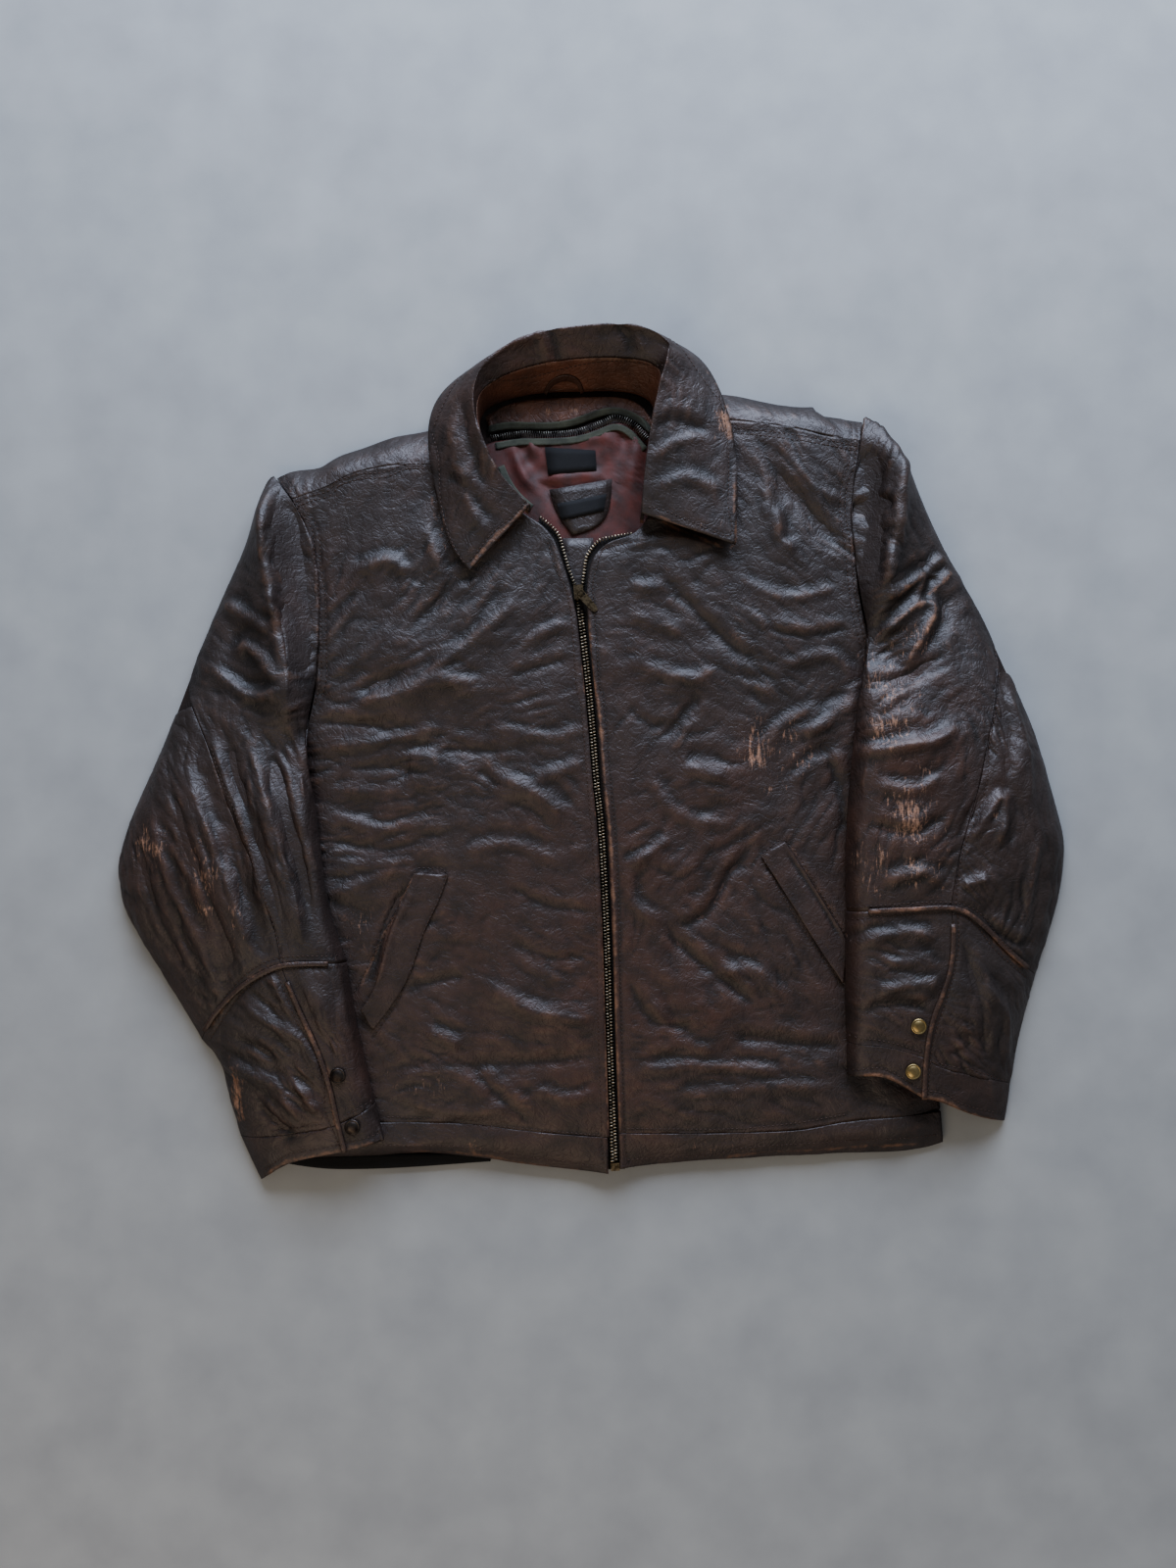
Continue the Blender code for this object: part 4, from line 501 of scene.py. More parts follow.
def apply_modifiers(piece):
    """Turn the piece's modifiers into mesh, in their order."""
    clear_selection()
    bpy.context.view_layer.objects.active = piece
    piece.select_set(True)
    for mod in list(piece.modifiers):
        bpy.ops.object.modifier_apply(modifier=mod.name)
    clear_selection()


def refined(node, name, level, rim=0.8):
    """A copy of a solid's mesh with its doubles merged, as smooth quads with a soft rim."""
    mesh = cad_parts[node].data.copy()
    mesh.name = name
    shape = bmesh.new()
    shape.from_mesh(mesh)
    bmesh.ops.remove_doubles(shape, verts=shape.verts, dist=1e-5)
    bmesh.ops.join_triangles(shape, faces=shape.faces, angle_face_threshold=math.radians(40),
                             angle_shape_threshold=math.pi)
    crease = shape.edges.layers.float.new("crease_edge")
    for edge in shape.edges:
        if edge.calc_face_angle(0) > math.radians(50):
            edge[crease] = rim
    for face in shape.faces:
        face.smooth = True
    shape.to_mesh(mesh)
    shape.free()
    mesh.materials.clear()
    piece = bpy.data.objects.new(name, mesh)
    bpy.context.scene.collection.objects.link(piece)
    if level:
        mod = piece.modifiers.new("round", "SUBSURF")
        mod.levels = mod.render_levels = level
        mod.use_limit_surface = False
        apply_modifiers(piece)
    return piece


def points_of(mesh):
    """The mesh's points, in millimetres."""
    co = np.zeros(len(mesh.vertices) * 3)
    mesh.vertices.foreach_get("co", co)
    return co.reshape(-1, 3) * 1000


def normals_of(mesh):
    """The way that the surface faces at each point."""
    n = np.zeros(len(mesh.vertices) * 3, np.float32)
    mesh.vertex_normals.foreach_get("vector", n)
    return n.reshape(-1, 3).astype(float)


def neighbour_mean(mesh, values, rounds):
    """The values smoothed over the mesh's edges."""
    e = np.zeros(len(mesh.edges) * 2, int)
    mesh.edges.foreach_get("vertices", e)
    e = e.reshape(-1, 2)
    count = np.bincount(e.ravel(), minlength=len(values)).astype(float)
    count[count == 0] = 1
    out = values.copy()
    for _ in range(rounds):
        total = np.bincount(e[:, 0], out[e[:, 1]], len(values))
        total = total + np.bincount(e[:, 1], out[e[:, 0]], len(values))
        out = 0.5 * out + 0.5 * total / count
    return out


def add_attribute(mesh, name, values):
    """One number for each point, for a material to read."""
    made = mesh.attributes.new(name, "FLOAT", "POINT")
    made.data.foreach_set("value", np.ascontiguousarray(values, np.float32))


def crease_heights(xy, creases, z):
    """What the listed creases add. Each has a valley beside it."""
    total = np.zeros(len(xy))
    for height, half, points in creases:
        line = smooth_line(laid(points, z), 6)
        gap, side, place = from_line(xy, line)
        ends = np.clip(np.minimum(place, 1 - place) * 6 + 0.1, 0, 1)
        half = 1.35 * half
        crest = 0.75 * np.exp(-(gap / half) ** 2) + 0.25 * np.exp(-1.6 * gap / half)
        beyond = -0.45 * np.exp(-((side - 2.1 * half) / (1.1 * half)) ** 2)
        total += height * ends * (crest + beyond)
    return total


STITCH_DEEP = 0.55  # how deep a row of stitches pulls the leather
STITCH_HALF = 1.9  # half the width of that groove


def pressed(xy, lines):
    """How deep the stitches press the leather."""
    total = np.zeros(len(xy))
    for z, points, offsets in lines:
        line = smooth_line(laid(points, z), 4)
        for off in offsets:
            gap, _, _ = from_line(xy, beside(line, off))
            total = np.minimum(total, -STITCH_DEEP * np.exp(-(gap / STITCH_HALF) ** 2))
    return total


def worn_amount(xy):
    """How rubbed the leather is at each point, from 0 to 1."""
    total = np.zeros(len(xy))
    for z, half, strength, points in WORN:
        line = smooth_line(laid(points, z), 6)
        gap, _, place = from_line(xy, line)
        ends = np.clip(np.minimum(place, 1 - place) * 8 + 0.3, 0, 1)
        total = np.maximum(total, strength * ends * np.exp(-(gap / half) ** 2))
    return total


ZIP_CLOSED = 142  # below this place up the jacket the zip is closed
EDGE_ROLL = 0.9  # how far the folded edge beside the zip stands up
EDGE_FROM = 4.0  # how far the folded edge lies from the zip's line
RIGHT_EDGE_FROM = 8.0  # the same on the right front
EDGE_CLOSER = 1.7  # how much closer to the teeth the right front's edge is drawn


def zip_edge(p, node):
    """The folded edge beside the zip: a soft roll, and on the right front it lies closer to the teeth."""
    gap, _, _ = from_line(p[:, :2], smooth_line(laid(ZIP_COURSE, 22), 8))
    below_slider = np.clip((ZIP_CLOSED - p[:, 1]) / 18, 0, 1)
    high = np.clip((p[:, 2] - 16) / 4, 0, 1)
    moved = np.zeros_like(p)
    start = RIGHT_EDGE_FROM if node == "right_front" else EDGE_FROM
    moved[:, 2] = EDGE_ROLL * high * np.exp(-((gap - start - 2.2) / 2.0) ** 2)
    if node == "right_front":
        moved[:, 0] = EDGE_CLOSER * below_slider * np.exp(-np.maximum(gap - 8, 0) / 14) * (gap < 39)
    return moved


# How much higher than in their table the creases are drawn on each part.
FOLD_GAIN = {"right_front": 1.15, "left_front": 1.15, "right_sleeve": 1.8, "left_sleeve": 1.7, "collar": 1.6}


# The three sizes of wrinkle: height, length and distance apart in millimetres, how much it varies
# from place to place, and what is added to the panel's seed.
WRINKLE_SIZES = ((1.75, 85, 26, 0, 20), (1.1, 44, 11, 1, 0), (0.46, 20, 5.2, 2, 40))


def leather_shell(node, area_name, z, level, amount, seed):
    """A panel of leather: the solid's form with creases, wrinkles, pressed stitches and wear."""
    piece = refined(node, node + "_leather", level)
    mesh = piece.data
    p = points_of(mesh)
    n = normals_of(mesh)
    xy = p[:, :2]
    up = np.clip((n[:, 2] - 0.05) / 0.5, 0, 1)
    height = FOLD_GAIN[area_name] * crease_heights(xy, CREASES[area_name], z)
    patchy = np.clip(0.95 + 0.9 * plane_noise(xy[:, 0] / 60 + 7, xy[:, 1] / 60 + 3, seed + 60), 0.25, 1.6)
    for tall, long, apart, varied, shift in WRINKLE_SIZES:
        rows = wrinkles(xy, RUNS[area_name], z, long, apart, seed + shift)
        height += amount * patchy ** varied * tall * rows
    height *= calm(xy)
    height = height * up + pressed(xy, STITCHED[area_name]) * up
    moved = p + n * height[:, None]
    moved[:, 2] = np.maximum(moved[:, 2], 0.2)
    if area_name.endswith("front"):
        moved += zip_edge(moved, node)
    mesh.vertices.foreach_set("co", (moved * MM).astype(np.float32).ravel())
    mesh.update()
    # The ridge number: its high side is the tan rub on the crests, its low side is painted shade in the
    # folds.
    soft = neighbour_mean(mesh, moved[:, 2], 8)
    add_attribute(mesh, "ridge", np.clip((moved[:, 2] - soft) / 0.45, -1, 1) * up)
    add_attribute(mesh, "wear", worn_amount(xy))
    add_attribute(mesh, "scuff", scuffed_amount(xy))
    add_attribute(mesh, "warm", warm_amount(xy))
    return piece


def calm(xy):
    """Less height where the leather is stitched flat: beside the zip, the pipings and the snaps."""
    total = np.ones(len(xy))
    for points, z, flat, blend, least in CALM:
        gap, _, _ = from_line(xy, smooth_line(laid(points, z), 8))
        total = np.minimum(total, least + (1 - least) * np.clip((gap - flat) / blend, 0, 1))
    return total


def plain_shell(node, level, rim=0.8):
    """A small or hidden piece: the solid's form, with its wear but no wrinkles of its own."""
    piece = refined(node, node + "_cloth", level, rim)
    p = points_of(piece.data)
    add_attribute(piece.data, "ridge", np.zeros(len(p)))
    add_attribute(piece.data, "wear", worn_amount(p[:, :2]))
    add_attribute(piece.data, "scuff", np.zeros(len(p)))
    add_attribute(piece.data, "warm", warm_amount(p[:, :2]))
    return piece


def finish_piece(piece, node, material):
    """The piece's material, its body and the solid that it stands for."""
    piece.data.materials.clear()
    piece.data.materials.append(material)
    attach(piece, "jacket")
    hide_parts(node)
    return piece


# Materials

def linear(code):
    """An sRGB hex colour as linear light."""
    values = [int(code[k:k + 2], 16) / 255 for k in (1, 3, 5)]
    return tuple(v / 12.92 if v <= 0.04045 else ((v + 0.055) / 1.055) ** 2.4 for v in values) + (1.0,)


def per_mm(size):
    """The scale of a pattern whose cells are that many millimetres, on coordinates in metres."""
    return 1000 / size


# The output that is read of each kind of node. Of the kinds not named here it is the first.
OUTPUT_READ = {"TexCoord": "Object", "Attribute": "Fac", "TexWave": "Fac", "Mix": 2}


def add_node(tree, kind, inputs=None, stops=(), **settings):
    """A node with its settings, the values or links of its inputs, and the two stops of a ramp."""
    made = tree.nodes.new("ShaderNode" + kind)
    for name, value in settings.items():
        setattr(made, name, value)
    for name, value in (inputs or {}).items():
        if isinstance(value, bpy.types.NodeSocket):
            tree.links.new(value, made.inputs[name])
        else:
            made.inputs[name].default_value = value
    for index, (place, shade) in enumerate(stops):
        stop = made.color_ramp.elements[index]
        stop.position = place
        stop.color = shade if isinstance(shade, tuple) else (shade, shade, shade, 1)
    return made.outputs[OUTPUT_READ.get(kind, 0)] if made.outputs else None


def new_material(name):
    """An empty material, with the function that adds a node to it."""
    made = bpy.data.materials.new(name)
    made.use_nodes = True
    made.node_tree.nodes.clear()
    return made, partial(add_node, made.node_tree)


def leather(name, dark, warm, cool, tan, gloss=0.46, cracks_deep=0.25):
    """Cowhide in clouds of warm and cool brown, with painted shade, nearly black, in the folds, and tan
    where it is rubbed.
    """
    made, add = new_material(name)
    place = add("TexCoord")
    ridge = add("Attribute", attribute_name="ridge")
    wear = add("Attribute", attribute_name="wear")
    redder = add("Attribute", attribute_name="warm")
    scuff = add("Attribute", attribute_name="scuff")
    broad = add("TexNoise", {"Vector": place, "Scale": per_mm(90), "Detail": 3.0, "Roughness": 0.55})
    cloudy = add("TexNoise", {"Vector": place, "Scale": per_mm(24), "Detail": 5.0, "Roughness": 0.55})
    fleck = add("TexNoise", {"Vector": place, "Scale": per_mm(5.5), "Detail": 4.0, "Roughness": 0.55})
    streak = add("TexNoise", {"Vector": place, "Scale": per_mm(16), "Detail": 6.0, "Roughness": 0.7})

    # The colour: warm or cool by the patch, with darker clouds. The patches from the noise are random tone;
    # the cool brown left on the upper body, away from the warm places, is painted bluish sheen.
    warmth = add("Math", {0: broad, 1: 1.4, 2: -0.7}, operation="MULTIPLY_ADD")
    warmth = add("Math", {0: redder, 1: warmth}, operation="ADD", use_clamp=True)
    base = add("Mix", {0: warmth, 6: linear(cool), 7: linear(warm)}, data_type="RGBA")
    clouds = add("ValToRGB", {0: cloudy}, [(0.35, 0.0), (0.68, 0.8)])
    base = add("Mix", {0: clouds, 6: base, 7: linear(dark)}, data_type="RGBA")

    # The crests are a little tan, and the folds are painted with shade, nearly black.
    crest = add("Math", {0: ridge, 1: 0.6, 2: -0.1}, operation="MULTIPLY_ADD", use_clamp=True)
    streaky = add("ValToRGB", {0: streak}, [(0.45, 0.0), (0.68, 1.0)])
    crest = add("Math", {0: crest, 1: streaky}, operation="MULTIPLY")
    crest = add("Math", {0: crest, 1: 0.55}, operation="MULTIPLY")
    base = add("Mix", {0: crest, 6: base, 7: linear(tan)}, data_type="RGBA")
    valley = add("Math", {0: ridge, 1: -0.75}, operation="MULTIPLY", use_clamp=True)
    base = add("Mix", {0: valley, 6: base, 7: linear("#0f0b0a")}, data_type="RGBA")

    # Rubbed edges show the tan of the hide, in broken streaks.
    broken = add("Math", {0: streak, 1: 2.6, 2: -1.85}, operation="MULTIPLY_ADD")
    rubbed = add("Math", {0: wear, 1: 1.5, 2: broken}, operation="MULTIPLY_ADD")
    specks = add("Math", {0: fleck, 1: 1.2, 2: -0.6}, operation="MULTIPLY_ADD")
    rubbed = add("Math", {0: rubbed, 1: specks}, operation="ADD", use_clamp=True)
    edge = add("ValToRGB", {0: wear}, [(0.05, 0.0), (0.3, 1.0)])
    rubbed = add("Math", {0: rubbed, 1: edge}, operation="MULTIPLY")
    base = add("Mix", {0: rubbed, 6: base, 7: linear(tan)}, data_type="RGBA")

    # Scuffs are bundles of fine scratches. Real ones are 0.3 mm wide, and they are drawn 2.6 mm
    # apart so that they show.
    drawn_out = add("Mapping", {"Vector": place, "Scale": (1.0, 0.22, 1.0)})
    thin = add("TexNoise", {"Vector": drawn_out, "Scale": per_mm(2.6), "Detail": 4.0, "Roughness": 0.7,
                            "Distortion": 0.4})
    uneven = add("Math", {0: cloudy, 1: 0.5, 2: -0.25}, operation="MULTIPLY_ADD")
    spread = add("Math", {0: scuff, 1: 0.22, 2: uneven}, operation="MULTIPLY_ADD")
    scratched = add("Math", {0: thin, 1: spread}, operation="ADD")
    scratched = add("ValToRGB", {0: scratched}, [(0.69, 0.0), (0.86, 0.85)])
    patch = add("ValToRGB", {0: scuff}, [(0.03, 0.0), (0.3, 1.0)])
    scratched = add("Math", {0: scratched, 1: patch}, operation="MULTIPLY")
    base = add("Mix", {0: scratched, 6: base, 7: linear("#93705a")}, data_type="RGBA")

    # The wax is worn unevenly, so the sheen comes and goes, and the rubbed places are dull.
    matt = add("Math", {0: cloudy, 1: 0.2, 2: gloss - 0.1}, operation="MULTIPLY_ADD")
    matt = add("Math", {0: rubbed, 1: 0.16, 2: matt}, operation="MULTIPLY_ADD")

    # The grain: pebbles, which are about 1 mm on a hide and are drawn at 2 mm to show, cracks, and
    # the finest folds.
    pebble = add("TexVoronoi", {"Vector": place, "Scale": per_mm(2.0), "Smoothness": 0.7},
                 feature="SMOOTH_F1")
    pebble = add("Math", {0: 1.0, 1: pebble}, operation="SUBTRACT")
    crackle = add("TexVoronoi", {"Vector": place, "Scale": per_mm(7)}, feature="DISTANCE_TO_EDGE")
    crackle = add("ValToRGB", {0: crackle}, [(0.0, 0.0), (0.1, 1.0)])
    twisted = add("TexNoise", {"Vector": place, "Scale": per_mm(13), "Detail": 5.0, "Distortion": 1.2})
    folds = add("Math", {0: twisted, 1: 0.5}, operation="SUBTRACT")
    folds = add("Math", {0: folds}, operation="ABSOLUTE")
    folds = add("ValToRGB", {0: folds}, [(0.0, 0.0), (0.12, 1.0)])
    raised = add("Bump", {"Height": pebble, "Strength": 0.2, "Distance": 0.5 * MM})
    raised = add("Bump", {"Height": crackle, "Strength": cracks_deep, "Distance": 0.45 * MM,
                          "Normal": raised})
    raised = add("Bump", {"Height": folds, "Strength": 0.3, "Distance": 0.9 * MM, "Normal": raised})
    raised = add("Bump", {"Height": streak, "Strength": 0.1, "Distance": 0.8 * MM, "Normal": raised})
    shader = add("BsdfPrincipled", {"Base Color": base, "Roughness": matt, "Normal": raised})
    add("OutputMaterial", {"Surface": shader})
    return made


def cloth(name, main, dark, rough, thread, sheen=0.0, bump_mm=0.3):
    """Woven cloth: two crossed sets of threads, their spacing in millimetres."""
    made, add = new_material(name)
    place = add("TexCoord")
    spacing = per_mm(thread) * 2 * math.pi / 20  # one unit of a wave texture is 20 radians
    threads = []
    for axis in ("X", "Y"):
        threads.append(add("TexWave", {"Vector": place, "Scale": spacing, "Distortion": 0.6, "Detail": 1.0},
                           wave_type="BANDS", bands_direction=axis))
    weave = add("Math", {0: threads[0], 1: threads[1]}, operation="MULTIPLY")
    cloudy = add("TexNoise", {"Vector": place, "Scale": per_mm(14), "Detail": 5.0})
    tone = add("ValToRGB", {0: cloudy}, [(0.3, 0.0), (0.7, 1.0)])
    base = add("Mix", {0: tone, 6: linear(dark), 7: linear(main)}, data_type="RGBA")
    matt = add("Math", {0: cloudy, 1: 0.2, 2: rough - 0.1}, operation="MULTIPLY_ADD")
    raised = add("Bump", {"Height": weave, "Strength": 0.5, "Distance": bump_mm * MM})
    raised = add("Bump", {"Height": cloudy, "Strength": 0.4, "Distance": MM, "Normal": raised})
    shader = add("BsdfPrincipled", {"Base Color": base, "Roughness": matt, "Normal": raised,
                                    "Sheen Weight": sheen})
    add("OutputMaterial", {"Surface": shader})
    return made


def metal(name, bright, tarnish, rough, grain=3.0):
    """Cast or pressed metal with tarnish in patches and rubbed high spots."""
    made, add = new_material(name)
    spots = add("TexNoise", {"Vector": add("TexCoord"), "Scale": per_mm(grain), "Detail": 6.0})
    clear = add("ValToRGB", {0: spots}, [(0.38, 0.0), (0.62, 1.0)])
    base = add("Mix", {0: clear, 6: linear(tarnish), 7: linear(bright)}, data_type="RGBA")
    matt = add("Math", {0: spots, 1: -0.3, 2: rough + 0.15}, operation="MULTIPLY_ADD")
    raised = add("Bump", {"Height": spots, "Strength": 0.3, "Distance": 0.2 * MM})
    shader = add("BsdfPrincipled", {"Base Color": base, "Roughness": matt, "Normal": raised,
                                    "Metallic": 1.0})
    add("OutputMaterial", {"Surface": shader})
    return made


def plain(name, colour, rough, grain, bump_mm):
    """A dull material with a fine uneven surface."""
    made, add = new_material(name)
    fine = add("TexNoise", {"Vector": add("TexCoord"), "Scale": per_mm(grain), "Detail": 4.0})
    tone = add("ValToRGB", {0: fine}, [(0.3, 0.75), (0.7, 1.0)])
    base = add("Mix", {0: 1.0, 6: linear(colour), 7: tone}, data_type="RGBA", blend_type="MULTIPLY")
    raised = add("Bump", {"Height": fine, "Strength": 0.5, "Distance": bump_mm * MM})
    shader = add("BsdfPrincipled", {"Base Color": base, "Roughness": rough, "Normal": raised})
    add("OutputMaterial", {"Surface": shader})
    return made


# Waxed, drum-dyed cowhide: dark brown in clouds, with a soft sheen on the crests of its folds.
SHELL_LEATHER = leather("cowhide_pull_up", "#1d1512", "#402a21", "#322a27", "#755540", gloss=0.5)
# The same hide folded into a narrow edge: its crown is rubbed lighter.
PIPING_LEATHER = leather("cowhide_rubbed_edge", "#2b1d17", "#473026", "#3b2d26", "#83604a", gloss=0.46)
# The same hide inside the neck, dried out: redder, paler and duller, with deep cracks.
FACING_LEATHER = leather("cowhide_cracked_facing", "#3a271f", "#6a4535", "#583d31", "#b89c82", gloss=0.52,
                         cracks_deep=0.6)
# Plain-woven nylon: a thin smooth cloth with a faint sheen. Its threads, 0.1 mm apart, wouldn't
# show, so they are drawn 0.8 mm apart.
NYLON = cloth("nylon_taffeta_maroon", "#531f14", "#2c1009", 0.58, 0.8, sheen=0.1, bump_mm=0.15)
# Knitted acrylic pile: a black fur that hardly shines.
PILE = plain("acrylic_pile_black", "#0b0b0c", 0.95, 1.6, 1.2)
# Cotton twill: a matt band. Its ribs, 0.4 mm apart, are drawn 1.2 mm apart to show.
GREEN_TAPE = cloth("zip_tape_twill_green", "#4e5145", "#2e3029", 0.9, 1.2, bump_mm=0.35)
# The same twill, dyed nearly black.
DARK_TAPE = cloth("zip_tape_twill_dark", "#26221f", "#151211", 0.9, 1.2, bump_mm=0.35)
# Plated links: dark grey, with small lights on their crowns.
COIL = metal("coil_dark_chrome", "#66635c", "#242321", 0.4, grain=6)
# Damask: a flat black. Its threads, 0.1 mm apart, are drawn 0.6 mm apart.
LABEL = cloth("damask_label_black", "#0f0f11", "#070708", 0.85, 0.6, bump_mm=0.15)
# Cast brass that has gone brown, with a dull yellow left where fingers rub it.
BRASS = metal("brass_tarnished", "#7c6f5a", "#40372b", 0.38)
# Stamped brass: paler than the slider, because the teeth rub each other.
BRASS_TEETH = metal("brass_teeth_dulled", "#978b77", "#4a4338", 0.4)
# Pressed brass caps, rubbed bright.
SNAP_BRASS = metal("snap_brass_rubbed", "#a08f68", "#7d6d4c", 0.38, grain=9)
# Pressed caps with a black oxide finish: a brown-grey gleam.
SNAP_DARK = metal("snap_gunmetal", "#4a4440", "#2a2523", 0.4, grain=9)
# Waxed nylon thread: fine brown stitches, a shade lighter than the hide.
THREAD = plain("bonded_nylon_thread", "#3d2a20", 0.6, 1.0, 0.1)


def build_cloth():
    """Every piece of cloth, each in its own solid's place."""
    made = {}
    panels = []
    for side, seed in (("right", 11), ("left", 211)):
        panels += [
            (side + "_front", side + "_front", 24, 3, 1.0, seed),
            (side + "_hem_band", side + "_front", 16, 3, 0.5, seed),
            (side + "_shoulder_strip", side + "_front", 22, 3, 0.8, seed),
            (side + "_pocket_welt", side + "_front", 25, 3, 0.4, seed + 3),
            (side + "_sleeve_top", side + "_sleeve", 44, 3, 1.1, seed + 5),
            (side + "_sleeve_outer", side + "_sleeve", 40, 4, 1.2, seed + 5),
            (side + "_forearm_outer", side + "_sleeve", 40, 4, 1.15, seed + 5),
            (side + "_forearm_inner", side + "_sleeve", 42, 3, 1.15, seed + 5),
            (side + "_cuff_outer", side + "_sleeve", 34, 3, 0.6, seed + 5),
            (side + "_cuff_inner", side + "_sleeve", 36, 3, 0.6, seed + 5),
        ]
    panels += [("collar_fall", "collar", 44, 3, 0.95, 401), ("collar_stand", "collar", 44, 3, 0.5, 401),
               ("neck_facing", "collar", 20, 3, 0.9, 431)]
    for node, area_name, z, level, amount, seed in panels:
        piece = leather_shell(node, area_name, z, level, amount, seed)
        slot = "leather_worn" if node == "neck_facing" else "leather_dark"
        inside = node in ("collar_stand", "neck_facing")
        made[node] = finish_piece(piece, node, FACING_LEATHER if inside else SHELL_LEATHER)
    for node, level, slot, material in (
            ("back", 0, "leather_dark", SHELL_LEATHER), ("wind_flap", 2, "leather_dark", SHELL_LEATHER),
            ("right_sleeve_under", 2, "leather_dark", SHELL_LEATHER),
            ("left_sleeve_under", 2, "leather_dark", SHELL_LEATHER),
            ("right_elbow_piping", 2, "leather_worn", PIPING_LEATHER),
            ("left_elbow_piping", 2, "leather_worn", PIPING_LEATHER),
            ("right_placket_piping", 2, "leather_worn", PIPING_LEATHER),
            ("left_placket_piping", 2, "leather_worn", PIPING_LEATHER),
            ("hanger_loop", 2, "leather_dark", PIPING_LEATHER),
            ("right_zip_tape", 1, "tape_dark", DARK_TAPE), ("left_zip_tape", 1, "tape_dark", DARK_TAPE),
            ("liner_tape_upper", 2, "tape_green", GREEN_TAPE),
            ("liner_tape_lower", 2, "tape_green", GREEN_TAPE),
            ("liner_tape_front", 2, "tape_green", GREEN_TAPE), ("liner_pile_edge", 2, "pile_black", PILE),
            ("label_patch", 2, "leather_dark", SHELL_LEATHER), ("small_label", 2, "woven_black", LABEL),
            ("patch_label", 2, "woven_black", LABEL)):
        rim = 1.0 if "label" in node else 0.8
        made[node] = finish_piece(plain_shell(node, level, rim), node, material)
    return made


# Where the liner is sewn flat: along its zip's tapes, and under its two labels.
LINER_CALM = [
    [(512, 436), (579, 437), (599, 430), (624, 420), (645, 423), (660, 433)],
    [(507, 466), (522, 504), (540, 512)], [(566, 468), (600, 466)], [(572, 520), (612, 508)],
]
LINER_TALL = 12  # how high the liner lies in the neck
LINER_WRINKLES = ((1.9, 30, 8, 611), (0.9, 15, 4, 631))  # height, length, distance apart, seed
LINER_SHOWS = 120  # above this place up the jacket the liner shows in the neck


def build_liner(made):
    """The padded nylon liner. Its back shows in the neck."""
    for node, level in (("liner_back", 3), ("right_liner_front", 1), ("left_liner_front", 1)):
        piece = refined(node, node + "_nylon", level, rim=0.3)
        mesh = piece.data
        p, n = points_of(mesh), normals_of(mesh)
        up = np.clip(n[:, 2] * 2, 0, 1)
        height = crease_heights(p[:, :2], CREASES["liner"], LINER_TALL)
        for tall, long, apart, seed in LINER_WRINKLES:
            height += tall * wrinkles(p[:, :2], RUNS["liner"], LINER_TALL, long, apart, seed)
        for points in LINER_CALM:
            gap, _, _ = from_line(p[:, :2], smooth_line(laid(points, LINER_TALL), 6))
            height *= 0.1 + 0.9 * np.clip((gap - 9) / 8, 0, 1)
        p[:, 2] += np.where(p[:, 1] > LINER_SHOWS, height, 0) * up
        mesh.vertices.foreach_set("co", (p * MM).astype(np.float32).ravel())
        mesh.update()
        made[node] = finish_piece(piece, node, NYLON)


# Sewing, zips and snaps

def tree_of(objects):
    """The objects' surfaces, to be met by straight lines, in millimetres."""
    points, faces = [], []
    for o in objects:
        base = len(points)
        points += [v.co * 1000 for v in o.data.vertices]
        faces += [[i + base for i in f.vertices] for f in o.data.polygons]
    return BVHTree.FromPolygons(points, faces)


def top_at(tree, x, y):
    """The highest point of the surfaces at that place, and the way it faces."""
    hit = tree.ray_cast((x, y, 500), (0, 0, -1))
    return (None, None) if hit[0] is None else (hit[0], hit[1])


def repeat(name, template, places):
    """One mesh of a shape at many places, each an origin, the way along and the way up."""
    t = np.array([v.co for v in template.vertices]) * 1000
    faces = [tuple(f.vertices) for f in template.polygons]
    points, all_faces = [], []
    for origin, way, up in places:
        way = np.array(way, float)
        up = np.array(up, float)
        way -= up * (way @ up)
        way /= np.linalg.norm(way)
        side = np.cross(up, way)
        base = len(points)
        points += list(np.array(origin) + t[:, :1] * way + t[:, 1:2] * side + t[:, 2:] * up)
        all_faces += [tuple(i + base for i in f) for f in faces]
    mesh = bpy.data.meshes.new(name)
    mesh.from_pydata([tuple(p * MM) for p in points], [], all_faces)
    mesh.shade_smooth()
    piece = bpy.data.objects.new(name, mesh)
    bpy.context.scene.collection.objects.link(piece)
    return piece


def taken(piece):
    """The mesh of a piece modelled at the origin. The object itself goes."""
    clear_selection()
    piece.select_set(True)
    bpy.context.view_layer.objects.active = piece
    bpy.ops.object.transform_apply(location=True, rotation=True, scale=True)
    mesh = piece.data
    clear_selection()
    bpy.data.objects.remove(piece)
    return mesh


def stitch_shape():
    """One stitch: a short thread, thick in the middle, 3 mm long."""
    clear_selection()
    bpy.ops.mesh.primitive_uv_sphere_add(segments=6, ring_count=4, radius=MM)
    piece = bpy.context.object
    piece.rotation_euler = (0, math.pi / 2, 0)
    bpy.ops.object.transform_apply(rotation=True)
    piece.scale = (1.5, 0.5, 0.42)
    return taken(piece)


def tooth_shape(long, wide, tall, bevel):
    """One tooth: a small block with softened edges, its sizes in millimetres."""
    clear_selection()
    bpy.ops.mesh.primitive_cube_add(size=MM)
    piece = bpy.context.object
    piece.scale = (long, wide, tall)
    bpy.ops.object.transform_apply(scale=True)
    mod = piece.modifiers.new("edges", "BEVEL")
    mod.width = bevel * MM
    mod.segments = 1
    bpy.ops.object.modifier_apply(modifier=mod.name)
    return taken(piece)


